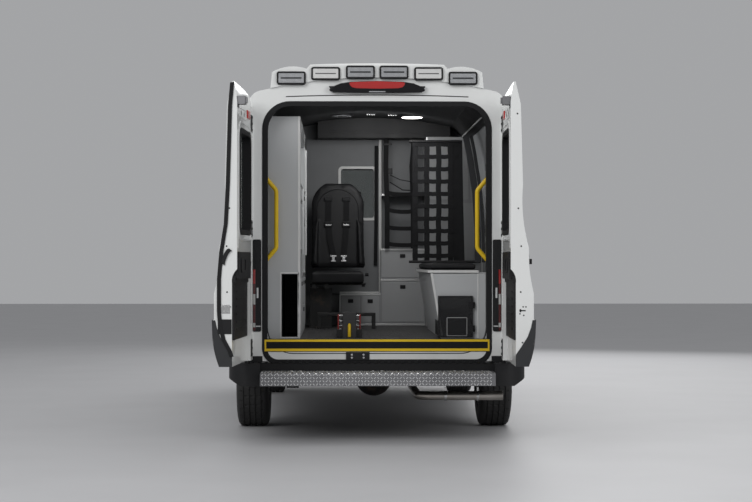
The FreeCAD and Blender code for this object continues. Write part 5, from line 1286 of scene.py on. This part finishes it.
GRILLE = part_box("grille")
GRILLE_FOOT, GRILLE_TOP, SLATS = GRILLE[0].z, GRILLE[1].z, 6
spacing = (GRILLE_TOP - GRILLE_FOOT - 0.030) / (SLATS - 1)
bm = bmesh.new()
for i in range(SLATS):
    inset = {0: 0.007, SLATS - 1: -0.007}.get(i, 0.0)
    for sign in (-1, 1):
        z = GRILLE_FOOT + 0.015 + spacing * i + inset
        run(bm, across_nose("grille", sign * 0.02, sign * 0.5, z, 12), 0.0045)
run(bm, across_nose("grille", -0.535, 0.535, GRILLE_TOP - 0.006, 24), 0.006)
piece("grille_edges", bm, bright)
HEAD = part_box("headlamps")
HEAD_Z = (HEAD[0].z + HEAD[1].z) / 2
housing = cut_copy("headlamps")
for vert in housing.verts:
    vert.co.y -= 0.048
    vert.co.x -= math.copysign(0.010, vert.co.x)
    vert.co.z = HEAD_Z + (vert.co.z - HEAD_Z) * 0.95
piece("headlamp_housings", housing, satin_black, 0.003)
cover = cut_copy("headlamps")
bmesh.ops.recalc_face_normals(cover, faces=cover.faces)
hidden = [f for f in cover.faces if f.normal.y < 0.15 and f.normal.x * f.calc_center_median().x <= 0.55
          or abs(f.normal.z) > 0.6]
bmesh.ops.delete(cover, geom=hidden, context="FACES")
bmesh.ops.solidify(cover, geom=cover.faces[:], thickness=0.003)
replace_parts(piece("headlamp_covers", cover, glass("headlamp_cover", (0.50, 0.54, 0.56), 0.10)),
            "headlamps")


def bowl(bm, mouth, axis, radius, depth=0.026, sides=40):
    """An open reflector bowl, deepest in the middle, with its mouth facing along the axis."""
    lie = Matrix.Translation(mouth) @ axis.to_track_quat("Z", "Y").to_matrix().to_4x4()
    angles = [math.tau * i / sides for i in range(sides)]
    rings = [[bm.verts.new(lie @ Vector((radius * r * math.cos(a), radius * r * math.sin(a), -depth * (1.0 - r * r))))
              for a in angles] for r in (1.0, 0.85, 0.65, 0.45, 0.20)]
    for outer, inner in zip(rings, rings[1:]):
        for i in range(sides):
            bm.faces.new((outer[i - 1], outer[i], inner[i], inner[i - 1]))
    bm.faces.new(rings[-1])


bowls, bulbs, amber, rims, fillers = (bmesh.new() for _ in range(5))
intake, fog = bmesh.new(), bmesh.new()
for z in (0.405, 0.435, 0.465, 0.495):
    ribbon(intake, across_nose("front_bumper", -0.48, 0.48, z, 24, 0.001), 0.012, 0.004, UP)
for sign in (-1, 1):
    for x, z, radius in ((0.64, 0.905, 0.064), (0.78, 0.9, 0.054)):
        spot, normal = onto("headlamps", rear(sign * x, AHEAD, z), BACKWARD)
        axis = (normal + Vector((0, 1, 0))).normalized()
        mouth = spot - axis * 0.014
        bowl(bowls, mouth, axis, radius)
        bowl(rims, mouth - axis * 0.004, axis, radius + 0.008)
        bmesh.ops.create_uvsphere(bulbs, u_segments=24, v_segments=14, radius=radius * 0.28,
                                  matrix=Matrix.Translation(mouth - axis * 0.012))
    plates_on(amber, "headlamps", BACKWARD,
              *[(rear(sign * (0.846 + 0.016 * i), AHEAD, 0.905 + 0.004 * i), 0.012, 0.11, 0.001) for i in range(5)])
    curve = [0.545 + 0.234 * i / 8 for i in range(9)]
    ribbon(fillers, [rear(sign * x, 2.2 + math.sqrt(3.578 ** 2 - x * x), 0.7335) for x in curve], 0.129, 0.004, UP)
    spot, normal = onto("front_bumper", rear(sign * 0.69, AHEAD, 0.49), BACKWARD)
    rod(intake, spot - normal * 0.006, spot + normal * 0.003, 0.062, 40)
    rod(fog, spot, spot + normal * 0.006, 0.047, 40, 0.043)
piece("headlamp_bowls", bowls, metal("reflector_chrome", (0.86, 0.86, 0.87), 0.10, wear=0.05), 0.001)
piece("headlamp_rims", rims, dark_grey, 0.002)
piece("headlamp_bulbs", bulbs, glass("lamp_glass_dome", (0.75, 0.78, 0.80), 0.6))
piece("indicator_cells", amber, moulded("amber_lens", (0.70, 0.24, 0.02), 0.2, 260.0), 0.001)
piece("under_lamp_panels", fillers, moulding, 0.001)
piece("bumper_intake", intake, satin_black, 0.001)
piece("fog_lamps", fog, glass("fog_lens", (0.55, 0.58, 0.60), 0.85), 0.001)


def rounded(points, radius, steps=5, outwards=0.009):
    """A closed outline with its corners rounded, grown a little outwards."""
    out = []
    for i, (a, b) in enumerate(points):
        here, before, after = Vector((a, b)), Vector(points[i - 1]), Vector(points[(i + 1) % len(points)])
        enter = here + (before - here).normalized() * min(radius, (before - here).length * 0.45)
        leave = here + (after - here).normalized() * min(radius, (after - here).length * 0.45)
        for t in [k / steps for k in range(steps + 1)]:
            out.append(enter * (1 - t) ** 2 + here * 2 * t * (1 - t) + leave * t ** 2)
    middle = sum(out, Vector((0, 0))) / len(out)
    return [p + (p - middle).normalized() * outwards for p in out]


SCREEN = [(-0.8, 1.325), (0.0, 1.3), (0.8, 1.325), (0.69, 2.085), (0.61, 2.14), (0.0, 2.155), (-0.61, 2.14),
          (-0.69, 2.085)]
bm = bmesh.new()
line = [on_nose("cab_frame", x, z, 0.002) for x, z in rounded(SCREEN, 0.050)]
line = [spot for spot in line if spot is not None and spot.y > REAR + 4.2]
run(bm, line + line[:1], 0.011, 8)
piece("windscreen_gasket", bm, rubber)
bm = bmesh.new()
for x0, x1, z0, z1 in ((-0.69, -0.06, 1.372, 1.402), (0.02, 0.6, 1.358, 1.398)):
    blade = [on_nose("windscreen", x0 + (x1 - x0) * i / 12, z0 + (z1 - z0) * i / 12, 0.010) for i in range(13)]
    run(bm, blade, 0.0055, 8)
    run(bm, [p + Vector((0, 0.006, 0.006)) for p in blade[3:10]], 0.005, 8)
    pivot = on_nose("cab_frame", x1 - 0.02, 1.292) or blade[-1] + Vector((0, 0.03, -0.08))
    run(bm, [pivot, pivot + Vector((-0.04, 0.010, 0.030)), blade[6] + Vector((0, 0.016, 0.012))], 0.007)
    rod(bm, pivot - Vector((0, 0.015, 0.015)), pivot + Vector((0, 0.010, 0.012)), 0.016, 20)
piece("wipers", bm, satin_black)

mirror_glass = metal("mirror_glass", (0.80, 0.82, 0.84), 0.09, wear=0.04)
amber_lens = moulded("mirror_indicator", (0.70, 0.24, 0.02), 0.2, 260.0)
for side, sign in SIDES.items():
    body = NODES["mirror_" + side]["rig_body"]
    dressed("mirror_" + side, satin_black, 0.008, 40.0)
    drawn("mirror_glass_" + side, mirror_glass, 0.001, [(1.078, 1.218, 4.5385, 4.5425, 1.395, 1.48),
                                                        (1.078, 1.218, 4.5385, 4.5425, 1.492, 1.726)],
          sign=sign, slot="screen_glass", body=body)
    drawn("mirror_rim_" + side, cab_plastic, 0.001, [(1.074, 1.222, 4.537, 4.5425, 1.481, 1.491)], sign=sign, body=body,
          frames=[(*sorted((sign * 1.07, sign * 1.226)), 1.387, 1.734, 0.024, 0.009, 4.5365, 4.5425)])
    drawn("mirror_indicator_" + side, amber_lens, 0.002, [(1.12, 1.222, 4.6185, 4.6235, 1.56, 1.59)], sign=sign,
          body=body)

# ---- Sides ---------------------------------------------
# Rubber gaskets round the side windows and quarter lights, following the curve of the skin, the sliding door's
# rail, a fuel flap, amber side markers and the seams of the joined panels.
BESIDE = 2.0      # lines that meet a side start this far out


def across_side(node, side, outline, proud=0.0):
    """The outline's (y, z) points laid on the outer face of a side piece."""
    points = []
    for y, z in outline:
        spot, normal = onto(node, rear(SIDES[side] * BESIDE, y, z), (-SIDES[side], 0, 0))
        if spot is not None and abs(spot.x) > 0.80:
            points.append(spot + normal * proud)
    return points


def upright(y0, y1, z0, z1):
    return [(y0, z0), (y1, z0), (y1, z1), (y0, z1)]


CAB_WINDOW = [(3.61, 1.32), (4.555, 1.32), (4.555, 1.585), (4.262, 2.02), (4.18, 2.055), (3.65, 2.055), (3.61, 2.015)]
QUARTER = [(4.678, 1.33), (4.795, 1.33), (4.678, 1.5)]
GASKETS = [("side_panel_left", "left", upright(1.48, 2.38, 1.37, 1.96), 0.070),
           ("side_panel_right", "right", upright(0.76, 1.70, 1.37, 1.96), 0.070),
           ("sliding_door", "right", upright(2.24, 3.27, 1.37, 1.96), 0.070),
           ("cab_frame", "left", QUARTER, 0.010), ("cab_frame", "right", QUARTER, 0.010),
           ("cab_door_left", "left", CAB_WINDOW, 0.030), ("cab_door_right", "right", CAB_WINDOW, 0.030)]
for i, (node, side, corners, radius) in enumerate(GASKETS):
    bm = bmesh.new()
    ring = across_side(node, side, rounded(corners, radius), 0.001)
    run(bm, ring + ring[:1], 0.0095, 8)
    piece("side_gasket_%d" % i, bm, rubber, body=NODES[node]["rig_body"])
drawn("sliding_door_rail", satin_black, 0.001,
      [(0.9925, 1.001, 0.243, 2.127, 1.1965, 1.2275), (0.999, 1.0065, 0.243, 2.127, 1.201, 1.2065)],
      slot="chassis_paint")
markers, seams = bmesh.new(), bmesh.new()
flap = across_side("side_panel_left", "left", rounded(upright(3.21, 3.4, 0.86, 1.05), 0.030))
run(seams, flap + flap[:1], 0.0022, 6)
for side, marker_places, seam_places in (("left", (0.42, 1.9, 3.44), (0.64, 2.42)), ("right", (0.42, 1.9), (0.64,))):
    node, sign = "side_panel_" + side, SIDES[side]
    plates_on(markers, node, (-sign, 0, 0),
              *[(rear(sign * BESIDE, y, 0.61), 0.036, 0.07, 0.006) for y in marker_places])
    for y in seam_places:
        run(seams, across_side(node, side, [(y, 0.68 + 0.08 * i) for i in range(6)]), 0.0018, 6)
piece("side_markers", markers, amber_lens, 0.002)
piece("panel_seams", seams, satin_black)
bm = bmesh.new()
spot, normal = onto("side_panel_left", rear(-BESIDE, 3.23, 0.955), (1, 0, 0))
rod(bm, spot - normal * 0.004, spot + normal * 0.003, 0.011, 20)
piece("fuel_flap_lock", bm, bright, 0.001)
